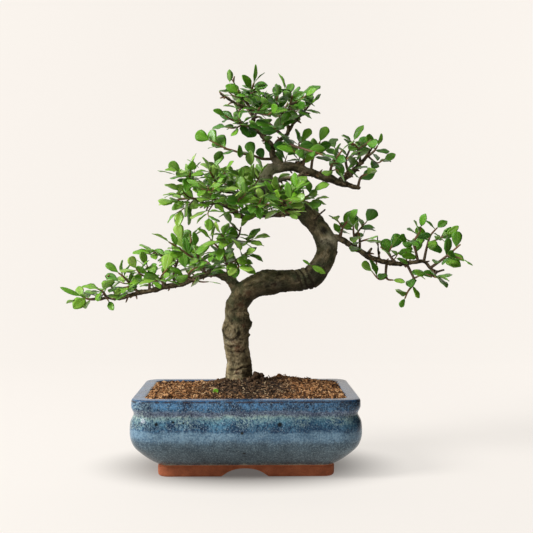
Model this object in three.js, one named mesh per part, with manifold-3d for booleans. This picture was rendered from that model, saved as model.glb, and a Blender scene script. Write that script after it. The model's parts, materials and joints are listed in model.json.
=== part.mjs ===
// Chinese elm bonsai in a glazed rectangular pot.
// Millimetres, +Z up, the front faces -Y. Every length below is the real one.
// The wood is one grown piece, each leafy twig is a piece of its own set on the wood,
// and the tree stands in a plain hole in the soil that fills the pot.

import * as THREE from 'three';
import * as BufferGeometryUtils from 'three/addons/utils/BufferGeometryUtils.js';
import Module from 'manifold-3d';

const wasm = await Module();
wasm.setup();

// Gap kept between pieces that touch, and how far cutting shapes run past what they cut
const GAP = 0.3;
const OVERRUN = 1;

// Pot: half sizes of the rim, and the heights of its parts
const POT = {
  halfLength: 116,
  halfDepth: 84,
  height: 83,
  footHeight: 13.3,
  footInset: 24,
  footWall: 12,
  floorTop: 20.5,
  cornerSegments: 3,
};

// Foot arch at the front and the back, and the two drain holes
const ARCH = { bottomWidth: 47, topWidth: 22, height: 9.2, shoulderRise: 0.7 };
const DRAIN = { radius: 8, spacing: 96, sides: 16 };

// Plastic net laid over each drain hole
const NET = { size: 27, thickness: 0.9, openings: 3, bar: 1.8 };

// Soil: height at the wall, rise of the mound towards the trunk, roughness of the surface,
// and the rings of its surface as shares of the way from the trunk to the wall
const SOIL = {
  wallHeight: 80.5,
  moundHeight: 9.5,
  moundPower: 1.5,
  roughness: 1.2,
  ringShares: [0.86, 0.68, 0.5, 0.3],
};

// Leaf blade: thickness, outline as shares of the length and of half the width, the triangles
// that both faces are split into, and how far the tip droops. Elm blades are lopsided.
const LEAF = {
  thickness: 0.65,
  outline: [[0, 0], [0.34, -0.8], [0.76, -0.94], [1, 0], [0.6, 1]],
  faces: [[0, 1, 4], [1, 2, 4], [2, 3, 4]],
  droop: 0.16,
  shortest: 13,
  lengthSpread: 6,
  endSink: 0.6,
};

// How leaves sit on a twig: angles in radians, directions as weights, the rest as shares
const HOLD = {
  lastShare: 0.97,
  alongSpread: 0.25,
  sideAngle: 1,
  sideSpread: 0.25,
  endSpread: 0.2,
  lift: 0.12,
  liftSpread: 0.28,
  endLift: 0.08,
  light: 0.5,
  outward: 0.45,
  wander: 0.55,
  width: 0.54,
  widthSpread: 0.07,
  longLeaf: 19,
  longWidth: 0.4,
};

// Leaves in front of this depth face the front, those behind it the back, and all of them
// turn a little to the sides as they come this far out
const FACING = { frontDepth: 34, sideReach: 300 };

// Clearances that keep leaves of different twigs, and leaves and wood, apart
const CLEAR = { otherLeaf: 3.7, ownLeaf: 4.6, twig: 2.6, wood: 1.5, tries: 14 };

// Leafy twigs, and the bark: how many sides and steps the wood has and how rough it is
const TWIG = { rootRadius: 1.35, tipRadius: 1, sideRootRadius: 1.15, sides: 3, bareShare: 0.36 };
const BARK = { trunkSides: 9, trunkSteps: 2, trunkDepth: 0.05, sides: 5, steps: 1, depth: 0.08 };

// Starting numbers of the random draws
const SEEDS = { bark: 11, leaves: 2024, soil: 7 };

// Wood, as centre points with the radius there: [x, y, z, radius]
const TRUNK = [
  [-8, 15, 66, 14], [-8, 15, 84, 15.4], [-9, 15, 99, 14.2], [-9, 15, 112, 13.4], [-11, 14, 126, 13],
  [-12, 14, 139, 14.2], [-12, 13, 149, 14.4], [-10, 12, 158, 13.2], [-11, 11, 168, 11.8],
  [-7, 10, 179, 12.2], [1, 9, 190, 13.2], [15, 7, 197, 13.4], [36, 6, 200, 13.2], [57, 7, 202, 12.2],
  [73, 9, 207, 12.4], [84, 11, 220, 11.3], [89, 14, 235, 10.7], [86, 17, 249, 11], [78, 20, 263, 10.8],
  [67, 22, 275, 10.4], [53, 22, 285, 9.4], [39, 20, 292, 8.8], [26, 17, 301, 8.4], [21, 14, 312, 8.3],
  [24, 12, 322, 7], [32, 11, 326, 5.6],
];

const BRANCHES = {
  crown_right: [
    [24, 12, 322, 5.6], [34, 11, 325, 5.5], [46, 9, 327, 5.2], [59, 8, 324, 5.2], [71, 8, 320, 4.8],
    [81, 9, 317, 4.6], [91, 10, 314, 4.8], [103, 11, 309, 3.9], [115, 12, 306, 3], [126, 13, 303, 2.1],
  ],
  crown_right_rise: [
    [101, 11, 310, 3.4], [107, 13, 313, 3.6], [114, 16, 319, 3.5], [121, 17, 324, 3],
    [127, 18, 332, 2.4], [133, 19, 338, 1.9], [140, 20, 349, 1.3],
  ],
  crown_brace: [[24, 8, 308, 3], [40, 1, 312, 2.4], [54, -2, 314, 2.1], [67, 5, 319, 2.4]],
  crown_back: [[48, 9, 326, 3.2], [58, 24, 331, 2.7], [67, 38, 336, 2.2], [76, 50, 343, 1.5]],
  apex: [
    [31, 12, 325, 4.4], [38, 12, 328, 4.2], [33, 12, 334, 4], [29, 11, 340, 3.7], [26, 9, 352, 3.5],
    [16, 8, 363, 3], [7, 8, 370, 2.7], [8, 10, 381, 2.3], [5, 12, 390, 2], [-2, 12, 401, 1.5],
    [-10, 9, 413, 1.1], [-17, 9, 424, 0.8],
  ],
  apex_fork: [
    [29, 11, 345, 2.6], [35, 13, 354, 2.4], [42, 15, 360, 2.3], [47, 16, 367, 2.2], [45, 16, 376, 2],
    [39, 15, 387, 1.5],
  ],
  apex_fork_right: [[47, 16, 366, 1.9], [52, 19, 375, 1.7], [61, 22, 385, 1.4]],
  apex_stub: [[4, 12, 391, 1.7], [-7, 8, 394, 1.6], [-14, 6, 397, 1.6], [-28, 3, 406, 1.5]],
  left: [
    [-9, 8, 190, 6.5], [-17, 6, 202, 5.6], [-25, 4, 206, 4.4], [-34, 2, 209, 4], [-45, 0, 208, 3.8],
    [-56, -1, 204, 3.7], [-66, -2, 200, 3.6], [-78, -2, 197, 3.4], [-89, -1, 195, 3], [-106, 2, 190, 2.8],
    [-118, 4, 188, 2.5], [-138, 6, 182, 2.1], [-153, 7, 182, 1.7], [-166, 7, 181, 1.3],
  ],
  left_rise: [
    [-17, 6, 202, 3.8], [-19, 9, 212, 3.1], [-18, 11, 221, 2.6], [-20, 13, 232, 2.1], [-20, 14, 241, 1.6],
  ],
  left_back: [
    [-22, 5, 205, 3.4], [-30, 18, 211, 2.8], [-43, 31, 214, 2.3], [-57, 42, 216, 1.8], [-69, 50, 221, 1.3],
  ],
  left_bare: [[-142, 6, 182, 1.4], [-146, 3, 192, 1.2], [-154, 1, 207, 0.9]],
  right: [
    [86, 16, 245, 4.4], [93, 16, 249, 3.9], [104, 14, 248, 3.4], [119, 12, 238, 3.3], [132, 10, 230, 3.2],
    [144, 9, 224, 3.1], [159, 9, 221, 2.9], [170, 10, 220, 2.7], [184, 12, 221, 2.4], [197, 13, 222, 2.1],
    [204, 12, 215, 1.7], [211, 11, 211, 1.5], [219, 10, 213, 1.3],
  ],
  right_bare: [[147, 8, 223, 1.4], [145, 6, 240, 1.1], [144, 4, 250, 0.8]],
  right_stub: [[132, 8, 230, 1.8], [134, 1, 232, 1.7], [137, -2, 237, 1.5]],
  centre: [
    [60, 22, 280, 5.2], [46, 14, 276, 4.2], [29, 6, 274, 3.7], [13, -1, 274, 3.3], [1, -5, 270, 2.9],
    [-9, -8, 273, 2.6], [-20, -9, 281, 2.3], [-31, -8, 285, 2], [-45, -6, 285, 1.8], [-59, -4, 283, 1.4],
  ],
  centre_high: [
    [36, 20, 293, 4.4], [22, 13, 292, 3.6], [6, 8, 294, 3.1], [-9, 5, 297, 2.7], [-25, 3, 300, 2.3],
    [-39, 2, 303, 1.9], [-54, 3, 307, 1.4],
  ],
  centre_back: [
    [43, 22, 289, 4.6], [33, 36, 294, 3.6], [20, 48, 301, 2.9], [4, 57, 306, 2.3], [-10, 64, 309, 1.6],
  ],
  centre_front: [[17, -1, 273, 3], [23, -14, 274, 2.6], [33, -27, 274, 2.2], [42, -38, 273, 1.6]],
  trunk_twig: [[74, 14, 267, 1.8], [79, 4, 273, 1.3], [86, -4, 279, 1]],
};

// Healed wounds and knobs on the trunk: where, how far they reach and how far they stand out
const KNOBS = [
  { at: [-26, 6, 148], reach: 7, rise: 2.4 },
  { at: [3, 11, 153], reach: 4, rise: 2.6 },
  { at: [1, 10, 164], reach: 3, rise: 1.6 },
  { at: [28, 2, 188], reach: 6, rise: 1.4 },
  { at: [78, 2, 212], reach: 7, rise: 1.3 },
  { at: [98, 12, 243], reach: 6, rise: 1.6 },
  { at: [-20, 10, 178], reach: 6, rise: 1.8 },
];

// Leafy twigs. The first twig of a spray starts on the wood, the others on the first.
// leaves counts the leaves, the last of them at the end, tip millimetres long.
const SPRAYS = {
  apex_long_spray: [
    {
      path: [
        [28, 11, 333], [17, 6, 335], [8, 3, 338], [-4, 0, 340], [-14, -2, 343], [-24, -3, 346],
        [-40, -4, 354],
      ],
      leaves: 8,
      tip: 15,
    },
  ],
  apex_spray_1: [
    { path: [[-2, 12, 401], [5, 7, 408], [8, 2, 417]], leaves: 4, tip: 21 },
    { path: [[4, 9, 406], [13, -4, 408]], leaves: 2, tip: 14 },
  ],
  apex_spray_2: [
    { path: [[1, 12, 398], [-6, -4, 403], [-9, -14, 407]], leaves: 4, tip: 14 },
    { path: [[-4, 1, 402], [-13, -9, 401], [-19, -12, 405]], leaves: 2, tip: 13 },
  ],
  apex_spray_3: [
    { path: [[12, 8, 366], [-4, -2, 372], [-17, -10, 376], [-23, -13, 380]], leaves: 5, tip: 13 },
    { path: [[-4, -2, 372], [-10, -14, 366]], leaves: 2, tip: 15 },
  ],
  apex_spray_4: [
    { path: [[7, 10, 380], [12, -14, 384], [17, -30, 389]], leaves: 4, tip: 14 },
    { path: [[11, -9, 383], [22, -28, 378], [27, -38, 380]], leaves: 2, tip: 14 },
  ],
  apex_spray_5: [
    { path: [[39, 15, 387], [33, 9, 395], [34, 2, 403]], leaves: 4, tip: 15 },
    { path: [[34, 10, 394], [24, 1, 398], [17, -6, 404]], leaves: 2, tip: 14 },
  ],
  apex_spray_6: [
    { path: [[43, 16, 379], [48, 13, 394], [51, 8, 405]], leaves: 4, tip: 16 },
    { path: [[48, 13, 396], [59, 3, 399], [65, -3, 403]], leaves: 2, tip: 14 },
    { path: [[46, 11, 393], [53, -13, 384], [56, -22, 386]], leaves: 2, tip: 14 },
  ],
  apex_spray_7: [
    { path: [[61, 22, 385], [66, 17, 391], [71, 11, 396]], leaves: 4, tip: 15 },
    { path: [[64, 19, 388], [70, 6, 385]], leaves: 2, tip: 13 },
  ],
  apex_spray_8: [
    { path: [[42, 15, 360], [33, -9, 365], [25, -23, 370]], leaves: 4, tip: 14 },
  ],
  apex_spray_9: [
    { path: [[7, 10, 381], [2, 39, 393], [-3, 61, 405]], leaves: 4, tip: 14 },
    { path: [[3, 32, 390], [15, 52, 400]], leaves: 2, tip: 14 },
  ],
  apex_spray_10: [
    { path: [[44, 16, 380], [43, 45, 393], [48, 67, 406]], leaves: 4, tip: 14 },
    { path: [[43, 42, 391], [58, 61, 398]], leaves: 2, tip: 14 },
  ],
  crown_spray_1: [
    { path: [[62, 8, 325], [63, 0, 337], [58, -6, 346], [57, -8, 351]], leaves: 3, tip: 14 },
    { path: [[62, -2, 340], [54, -14, 339], [49, -24, 343]], leaves: 2, tip: 13 },
  ],
  crown_spray_2: [
    {
      path: [
        [44, 15, 361], [47, -6, 350], [60, -23, 343], [70, -31, 339], [81, -35, 335],
      ],
      leaves: 6,
      tip: 15,
    },
  ],
  crown_spray_3: [
    { path: [[72, 8, 321], [73, 6, 335], [78, 5, 346], [81, 5, 354]], leaves: 4, tip: 16 },
    { path: [[74, 6, 339], [86, 14, 345], [92, 18, 351]], leaves: 2, tip: 14 },
  ],
  crown_spray_4: [
    { path: [[92, 10, 314], [93, -6, 327], [98, -16, 335], [103, -20, 342]], leaves: 4, tip: 15 },
    { path: [[94, -8, 327], [104, -22, 330], [110, -28, 334]], leaves: 2, tip: 14 },
    { path: [[93, 2, 321], [97, -19, 321], [99, -25, 317]], leaves: 2, tip: 13 },
  ],
  crown_spray_5: [
    { path: [[114, 16, 319], [111, 22, 334], [115, 22, 346], [120, 21, 357]], leaves: 5, tip: 18 },
    { path: [[112, 22, 331], [106, 38, 343], [101, 48, 352]], leaves: 2, tip: 14 },
    { path: [[111, 22, 337], [123, 45, 344], [126, 58, 353]], leaves: 2, tip: 14 },
  ],
  crown_spray_6: [
    { path: [[127, 18, 333], [123, 10, 347], [116, 5, 353]], leaves: 3, tip: 14 },
    { path: [[123, 10, 346], [131, 0, 351], [136, -4, 355]], leaves: 2, tip: 14 },
  ],
  crown_spray_7: [
    { path: [[133, 19, 338], [141, 13, 344], [145, 9, 350]], leaves: 3, tip: 13 },
    { path: [[135, 17, 339], [144, 9, 331], [152, 5, 335]], leaves: 2, tip: 12 },
  ],
  crown_spray_8: [
    { path: [[124, 13, 304], [126, 7, 315], [132, -1, 318]], leaves: 3, tip: 15 },
  ],
  crown_spray_9: [
    { path: [[76, 50, 343], [83, 63, 354]], leaves: 3, tip: 14 },
    { path: [[79, 55, 347], [69, 60, 354]], leaves: 2, tip: 13 },
  ],
  centre_spray_1: [
    { path: [[-25, 3, 300], [-34, -7, 310], [-40, -11, 321]], leaves: 4, tip: 14 },
    { path: [[-32, -5, 308], [-25, -18, 315], [-22, -24, 319]], leaves: 2, tip: 15 },
  ],
  centre_spray_2: [
    { path: [[-54, 3, 307], [-64, -2, 314], [-71, -5, 320]], leaves: 4, tip: 14 },
    { path: [[-61, -2, 313], [-60, -15, 320]], leaves: 2, tip: 14 },
  ],
  centre_spray_3: [
    { path: [[-45, -6, 285], [-57, -16, 290], [-70, -19, 289], [-79, -19, 287]], leaves: 5, tip: 14 },
    { path: [[-61, -16, 290], [-67, -25, 297]], leaves: 2, tip: 14 },
    { path: [[-56, -14, 289], [-65, -12, 281], [-75, -9, 275]], leaves: 2, tip: 14 },
  ],
  centre_spray_4: [
    { path: [[-31, -8, 285], [-36, -30, 292], [-40, -46, 300]], leaves: 4, tip: 15 },
    { path: [[-35, -27, 290], [-25, -46, 296]], leaves: 2, tip: 15 },
    { path: [[-33, -16, 288], [-40, -34, 275], [-39, -40, 268]], leaves: 2, tip: 15 },
  ],
  centre_spray_5: [
    { path: [[-1, 6, 295], [-4, -5, 305], [-9, -13, 313]], leaves: 4, tip: 15 },
    { path: [[-3, 0, 302], [9, -4, 306], [15, -7, 316]], leaves: 4, tip: 14 },
  ],
  centre_spray_6: [
    { path: [[-9, -8, 273], [-11, -30, 282], [-6, -46, 290]], leaves: 4, tip: 15 },
    { path: [[-10, -26, 280], [-19, -46, 285]], leaves: 2, tip: 14 },
  ],
  centre_spray_7: [
    { path: [[13, -1, 274], [12, -35, 280], [16, -57, 288]], leaves: 4, tip: 15 },
    { path: [[13, -38, 281], [25, -63, 282]], leaves: 2, tip: 14 },
  ],
  centre_spray_8: [
    { path: [[39, 20, 292], [39, -6, 298], [35, -25, 304]], leaves: 3, tip: 15 },
    { path: [[39, -1, 298], [47, -25, 294], [50, -31, 297]], leaves: 2, tip: 22 },
  ],
  centre_spray_9: [
    { path: [[53, 22, 285], [58, -4, 289], [66, -16, 293]], leaves: 4, tip: 15 },
    { path: [[59, -5, 290], [68, -26, 285]], leaves: 2, tip: 14 },
  ],
  centre_spray_10: [
    { path: [[33, -27, 274], [40, -38, 280], [48, -45, 285]], leaves: 4, tip: 15 },
    { path: [[40, -38, 280], [34, -57, 288]], leaves: 2, tip: 14 },
    { path: [[37, -33, 278], [46, -54, 272]], leaves: 2, tip: 14 },
  ],
  centre_spray_11: [
    { path: [[20, 48, 301], [18, 58, 312], [24, 64, 320]], leaves: 4, tip: 15 },
    { path: [[19, 53, 307], [7, 67, 314]], leaves: 2, tip: 14 },
  ],
  centre_spray_12: [
    { path: [[-10, 64, 309], [-23, 70, 312], [-35, 74, 317]], leaves: 4, tip: 15 },
    { path: [[-19, 69, 311], [-22, 80, 322]], leaves: 2, tip: 14 },
  ],
  left_spray_1: [
    { path: [[-166, 7, 181], [-173, 5, 181], [-180, 4, 184]], leaves: 3, tip: 26 },
  ],
  left_spray_2: [
    { path: [[-153, 7, 182], [-156, -6, 190], [-160, -14, 193]], leaves: 3, tip: 12 },
    { path: [[-154, -1, 186], [-148, -12, 179]], leaves: 1, tip: 13 },
  ],
  left_spray_3: [
    { path: [[-118, 4, 188], [-126, -4, 198], [-133, -9, 206], [-138, -10, 210]], leaves: 4, tip: 15 },
    { path: [[-125, -2, 197], [-133, -17, 193]], leaves: 2, tip: 13 },
    { path: [[-123, -1, 195], [-128, 23, 199], [-136, 41, 203]], leaves: 2, tip: 14 },
  ],
  left_spray_4: [
    { path: [[-106, 2, 190], [-105, -6, 206], [-107, -12, 218]], leaves: 4, tip: 15 },
    { path: [[-105, -4, 205], [-113, -22, 209], [-117, -28, 215]], leaves: 2, tip: 14 },
  ],
  left_spray_5: [
    {
      path: [
        [-79, -2, 197], [-80, 8, 209], [-76, 14, 222], [-68, 20, 235], [-62, 24, 244],
        [-63, 25, 253],
      ],
      leaves: 5,
      tip: 17,
    },
    { path: [[-77, 12, 220], [-88, 4, 227], [-100, -2, 232], [-107, -4, 235]], leaves: 4, tip: 15 },
  ],
  left_spray_6: [
    {
      path: [
        [-44, 0, 209], [-48, -21, 221], [-59, -32, 228], [-70, -38, 236], [-81, -42, 243],
      ],
      leaves: 6,
      tip: 18,
    },
  ],
  left_spray_7: [
    { path: [[-89, -1, 195], [-91, -22, 205], [-83, -35, 215]], leaves: 4, tip: 14 },
    { path: [[-92, -19, 204], [-98, -36, 201]], leaves: 2, tip: 13 },
  ],
  left_spray_8: [
    { path: [[-34, 2, 209], [-41, 15, 219], [-51, 23, 226], [-58, 28, 234]], leaves: 4, tip: 14 },
  ],
  left_spray_9: [
    { path: [[-66, -2, 200], [-60, -24, 211], [-51, -39, 217]], leaves: 3, tip: 14 },
    { path: [[-63, -12, 205], [-49, -28, 201], [-40, -34, 201]], leaves: 2, tip: 14 },
  ],
  left_spray_10: [
    { path: [[-19, 9, 212], [-24, -9, 228], [-30, -20, 237], [-38, -26, 246]], leaves: 4, tip: 17 },
    { path: [[-29, -18, 236], [-23, -34, 246], [-27, -39, 252]], leaves: 2, tip: 14 },
  ],
  left_spray_11: [
    { path: [[-20, 14, 241], [-9, 12, 250], [-6, 8, 260]], leaves: 3, tip: 14 },
    { path: [[-16, 14, 245], [-4, -10, 244], [4, -18, 243]], leaves: 2, tip: 14 },
  ],
  left_spray_12: [
    { path: [[-18, 11, 221], [-9, -13, 225], [0, -26, 231]], leaves: 3, tip: 14 },
    { path: [[-11, -8, 224], [-8, -29, 217], [-10, -35, 215]], leaves: 2, tip: 17 },
  ],
  left_spray_13: [
    { path: [[-69, 50, 221], [-81, 61, 225], [-90, 68, 230]], leaves: 4, tip: 14 },
    { path: [[-78, 60, 224], [-78, 69, 235]], leaves: 2, tip: 14 },
  ],
  right_spray_1: [
    { path: [[105, 14, 248], [106, 3, 260], [112, -7, 268]], leaves: 4, tip: 14 },
    { path: [[106, 4, 259], [99, -10, 267]], leaves: 2, tip: 13 },
  ],
  right_spray_2: [
    { path: [[122, 11, 236], [120, 21, 252], [120, 27, 263]], leaves: 3, tip: 14 },
    { path: [[120, 19, 250], [129, 30, 260], [136, 35, 267]], leaves: 2, tip: 19 },
  ],
  right_spray_3: [
    { path: [[127, 11, 234], [124, -2, 247], [121, -10, 255]], leaves: 3, tip: 14 },
    { path: [[124, 1, 244], [132, -15, 247]], leaves: 2, tip: 13 },
  ],
  right_spray_4: [
    { path: [[165, 9, 221], [154, -5, 232], [145, -15, 238]], leaves: 3, tip: 14 },
    { path: [[155, -4, 231], [158, -15, 241]], leaves: 2, tip: 13 },
    { path: [[159, 1, 227], [171, 20, 232], [178, 28, 235]], leaves: 2, tip: 14 },
  ],
  right_spray_5: [
    {
      path: [
        [189, 13, 222], [187, 5, 232], [183, -3, 243], [188, -9, 254], [189, -13, 260],
      ],
      leaves: 5,
      tip: 14,
    },
    { path: [[183, -3, 242], [173, -16, 246]], leaves: 2, tip: 14 },
  ],
  right_spray_6: [
    { path: [[197, 13, 222], [202, 23, 237], [207, 27, 251], [215, 29, 260]], leaves: 4, tip: 14 },
    { path: [[204, 24, 243], [215, 15, 248], [221, 10, 252]], leaves: 4, tip: 15 },
  ],
  right_spray_7: [
    { path: [[204, 12, 215], [213, 1, 223], [223, -6, 232], [233, -9, 241]], leaves: 5, tip: 17 },
    { path: [[219, -2, 229], [227, -18, 227], [232, -23, 225]], leaves: 2, tip: 15 },
  ],
  right_spray_8: [
    { path: [[211, 11, 211], [205, -5, 206], [209, -15, 205]], leaves: 3, tip: 23 },
    { path: [[205, -5, 206], [193, -18, 209]], leaves: 2, tip: 14 },
  ],
  right_spray_9: [
    { path: [[154, 9, 221], [153, 1, 210], [154, -4, 203], [160, -7, 202]], leaves: 2, tip: 12 },
    { path: [[153, -2, 205], [144, -10, 203], [135, -18, 212]], leaves: 2, tip: 15 },
  ],
  right_spray_10: [
    {
      path: [
        [178, 11, 221], [181, 5, 211], [184, -2, 200], [176, -8, 190], [172, -11, 182],
      ],
      leaves: 4,
      tip: 10,
    },
    { path: [[183, 0, 204], [191, -10, 208]], leaves: 2, tip: 13 },
  ],
};

const COLOUR = { glaze: 0x49647a, soil: 0x795c3f, bark: 0x615b48, leaf: 0x3f7d2c, net: 0x20211f };

// Repeatable random numbers from 0 to 1
function seeded(seed) {
  let state = seed >>> 0;
  return function next() {
    state = (state + 0x6d2b79f5) >>> 0;
    let mixed = state;
    mixed = Math.imul(mixed ^ (mixed >>> 15), mixed | 1);
    mixed ^= mixed + Math.imul(mixed ^ (mixed >>> 7), mixed | 61);
    return ((mixed ^ (mixed >>> 14)) >>> 0) / 4294967296;
  };
}

// A closed solid between rings of equally many points, each ring running anticlockwise
// as seen by someone who looks back along the way the rings go
function loft(rings) {
  const count = rings[0].length;
  const positions = rings.flat().flatMap((point) => [point.x, point.y, point.z]);
  const index = [];
  for (let ring = 0; ring + 1 < rings.length; ring += 1) {
    for (let side = 0; side < count; side += 1) {
      const next = (side + 1) % count;
      const lower = ring * count;
      const upper = lower + count;
      index.push(lower + side, lower + next, upper + next);
      index.push(lower + side, upper + next, upper + side);
    }
  }
  const last = (rings.length - 1) * count;
  for (let side = 1; side + 1 < count; side += 1) {
    index.push(0, side + 1, side);
    index.push(last, last + side, last + side + 1);
  }
  const geometry = new THREE.BufferGeometry();
  geometry.setAttribute('position', new THREE.Float32BufferAttribute(positions, 3));
  geometry.setIndex(index);
  return geometry;
}

function solidOf(geometry) {
  const bare = geometry.clone();
  bare.deleteAttribute('normal');
  bare.deleteAttribute('uv');
  const merged = BufferGeometryUtils.mergeVertices(bare, 1e-4);
  const vertProperties = new Float32Array(merged.attributes.position.array);
  const triVerts = new Uint32Array(merged.index.array);
  return new wasm.Manifold(new wasm.Mesh({ numProp: 3, vertProperties, triVerts }));
}

function geometryOf(solid) {
  const mesh = solid.getMesh();
  const geometry = new THREE.BufferGeometry();
  geometry.setAttribute('position', new THREE.Float32BufferAttribute(mesh.vertProperties, 3));
  geometry.setIndex(new THREE.Uint32BufferAttribute(mesh.triVerts, 1));
  geometry.computeVertexNormals();
  return geometry;
}

function joined(solids) {
  return solids.reduce((sum, solid) => sum.add(solid));
}

// The largest body of a solid, so that loose scraps are dropped and sealed hollows filled
function largestBody(solid) {
  const bodies = solid.decompose();
  bodies.sort((a, b) => b.volume() - a.volume());
  return bodies[0];
}

// Pot
// A rounded rectangle at one height, set in (or out, when negative) from the rim's size
function potRing(inset, height, cornerRadius) {
  const points = [];
  const reachX = POT.halfLength - inset - cornerRadius;
  const reachY = POT.halfDepth - inset - cornerRadius;
  const corners = [[1, 1], [-1, 1], [-1, -1], [1, -1]];
  corners.forEach(([signX, signY], quarter) => {
    for (let step = 0; step <= POT.cornerSegments; step += 1) {
      const angle = (quarter + step / POT.cornerSegments) * Math.PI / 2;
      const x = signX * reachX + cornerRadius * Math.cos(angle);
      const y = signY * reachY + cornerRadius * Math.sin(angle);
      points.push(new THREE.Vector3(x, y, height));
    }
  });
  return points;
}

// Outside of the glazed body, from its base to the lip: inset, height, corner radius
const BODY_PROFILE = [
  [24.6, POT.footHeight, 14], [19, 17, 17], [12.6, 22.5, 20], [5.6, 29.5, 23], [0.4, 36.5, 25],
  [-2.4, 45, 26], [-2.4, 53, 26], [-1, 61.5, 24], [0.6, 66, 21], [2.2, 69, 18], [0.2, 72.5, 16],
  [0, 80.8, 16], [1.4, POT.height, 15],
];

// The hollow: the floor, the wall, the underside of the lip and the mouth
const HOLLOW_PROFILE = [
  [29, POT.floorTop, 12], [18, 26, 15], [8, 36, 18], [6, 52, 18], [10.5, 70, 14], [13.4, 78, 12],
  [13.6, 90, 12],
];

// The unglazed foot, and the hollow under the pot inside it
const FOOT_PROFILE = [
  [POT.footInset + 1.2, 0, 11], [POT.footInset, 1.6, 12], [POT.footInset, POT.footHeight + OVERRUN, 12],
];
const UNDER_PROFILE = [
  [POT.footInset + POT.footWall, -OVERRUN, 6], [POT.footInset + POT.footWall + 1, POT.footHeight - 1.3, 6],
];

function archCutter() {
  const shape = new THREE.Shape();
  const shoulder = (ARCH.bottomWidth - ARCH.topWidth) / 2;
  const halfBottom = ARCH.bottomWidth / 2;
  const halfTop = ARCH.topWidth / 2;
  shape.moveTo(-halfBottom, -OVERRUN);
  shape.lineTo(halfBottom, -OVERRUN);
  shape.lineTo(halfBottom, 0);
  const bendX = halfBottom - shoulder / 2;
  const bendZ = ARCH.height * ARCH.shoulderRise;
  shape.bezierCurveTo(bendX, bendZ, halfTop, ARCH.height, 0, ARCH.height);
  shape.bezierCurveTo(-halfTop, ARCH.height, -bendX, bendZ, -halfBottom, 0);
  shape.closePath();
  const depth = 2 * POT.halfDepth;
  const geometry = new THREE.ExtrudeGeometry(shape, { depth, bevelEnabled: false, curveSegments: 5 });
  geometry.rotateX(Math.PI / 2);
  geometry.translate(0, depth / 2, 0);
  return solidOf(geometry);
}

function drainCentres() {
  return [-DRAIN.spacing / 2, DRAIN.spacing / 2];
}

function makePot() {
  const body = solidOf(loft(BODY_PROFILE.map((row) => potRing(...row))));
  const hollow = solidOf(loft(HOLLOW_PROFILE.map((row) => potRing(...row))));
  const foot = solidOf(loft(FOOT_PROFILE.map((row) => potRing(...row))));
  const under = solidOf(loft(UNDER_PROFILE.map((row) => potRing(...row))));
  let pot = body.add(foot).subtract(hollow).subtract(under).subtract(archCutter());
  for (const x of drainCentres()) {
    const hole = new THREE.CylinderGeometry(DRAIN.radius, DRAIN.radius, 3 * POT.floorTop, DRAIN.sides);
    hole.rotateX(Math.PI / 2);
    hole.translate(x, 0, 0);
    pot = pot.subtract(solidOf(hole));
  }
  return pot;
}

// Nets over the drain holes
function netBlock(x, growth) {
  const block = new THREE.BoxGeometry(NET.size + 2 * growth, NET.size + 2 * growth, NET.thickness + growth);
  block.translate(x, 0, POT.floorTop + GAP + (NET.thickness + growth) / 2);
  return solidOf(block);
}

function makeNet(x) {
  let net = netBlock(x, 0);
  const pitch = (NET.size - NET.bar) / NET.openings;
  const opening = pitch - NET.bar;
  for (let column = 0; column < NET.openings; column += 1) {
    for (let row = 0; row < NET.openings; row += 1) {
      const hole = new THREE.BoxGeometry(opening, opening, 4 * NET.thickness);
      const holeX = x + (column - (NET.openings - 1) / 2) * pitch;
      const holeY = (row - (NET.openings - 1) / 2) * pitch;
      hole.translate(holeX, holeY, POT.floorTop + NET.thickness);
      net = net.subtract(solidOf(hole));
    }
  }
  return net;
}

// Wood
const barkRandom = seeded(SEEDS.bark);

function vectorOf(row) {
  return new THREE.Vector3(row[0], row[1], row[2]);
}

// Stations along a limb: centre, two directions across it and the radius on every side
function stationsOf(rows, sides, stepsPerSpan, barkDepth) {
  const curve = new THREE.CatmullRomCurve3(rows.map(vectorOf), false, 'catmullrom', 0.5);
  const spans = rows.length - 1;
  const total = spans * stepsPerSpan;
  const stations = [];
  let across = new THREE.Vector3(0, -1, 0);
  for (let step = 0; step <= total; step += 1) {
    const along = curve.getTangent(step / total);
    across = across.clone().addScaledVector(along, -across.dot(along)).normalize();
    const span = Math.min(spans - 1, Math.floor(step / stepsPerSpan));
    const blend = step / stepsPerSpan - span;
    const radius = rows[span][3] * (1 - blend) + rows[span + 1][3] * blend;
    const radii = [];
    for (let side = 0; side < sides; side += 1) {
      radii.push(radius * (1 + barkDepth * (barkRandom() * 2 - 1)));
    }
    stations.push({ centre: curve.getPoint(step / total), across, over: along.cross(across), radius, radii });
  }
  return stations;
}

// Knobs push the ring's points outwards where they are near
function ringOf(station, growth, knobs) {
  return station.radii.map((radius, side) => {
    const angle = side / station.radii.length * 2 * Math.PI;
    const outward = station.across.clone().multiplyScalar(Math.cos(angle));
    outward.addScaledVector(station.over, Math.sin(angle));
    const point = station.centre.clone().addScaledVector(outward, radius);
    let rise = growth;
    for (const knob of knobs) {
      const distance = point.distanceTo(vectorOf(knob.at));
      rise += knob.rise * Math.exp(-((distance / knob.reach) ** 2));
    }
    return point.addScaledVector(outward, rise);
  });
}

const trunkStations = stationsOf(TRUNK, BARK.trunkSides, BARK.trunkSteps, BARK.trunkDepth);
const branchStations = Object.values(BRANCHES).map((rows) => {
  return stationsOf(rows, BARK.sides, BARK.steps, BARK.depth);
});

function makeWood(growth) {
  const trunk = solidOf(loft(trunkStations.map((station) => ringOf(station, growth, KNOBS))));
  const branches = branchStations.map((stations) => {
    return solidOf(loft(stations.map((station) => ringOf(station, growth, []))));
  });
  return joined([trunk, ...branches]);
}

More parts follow.
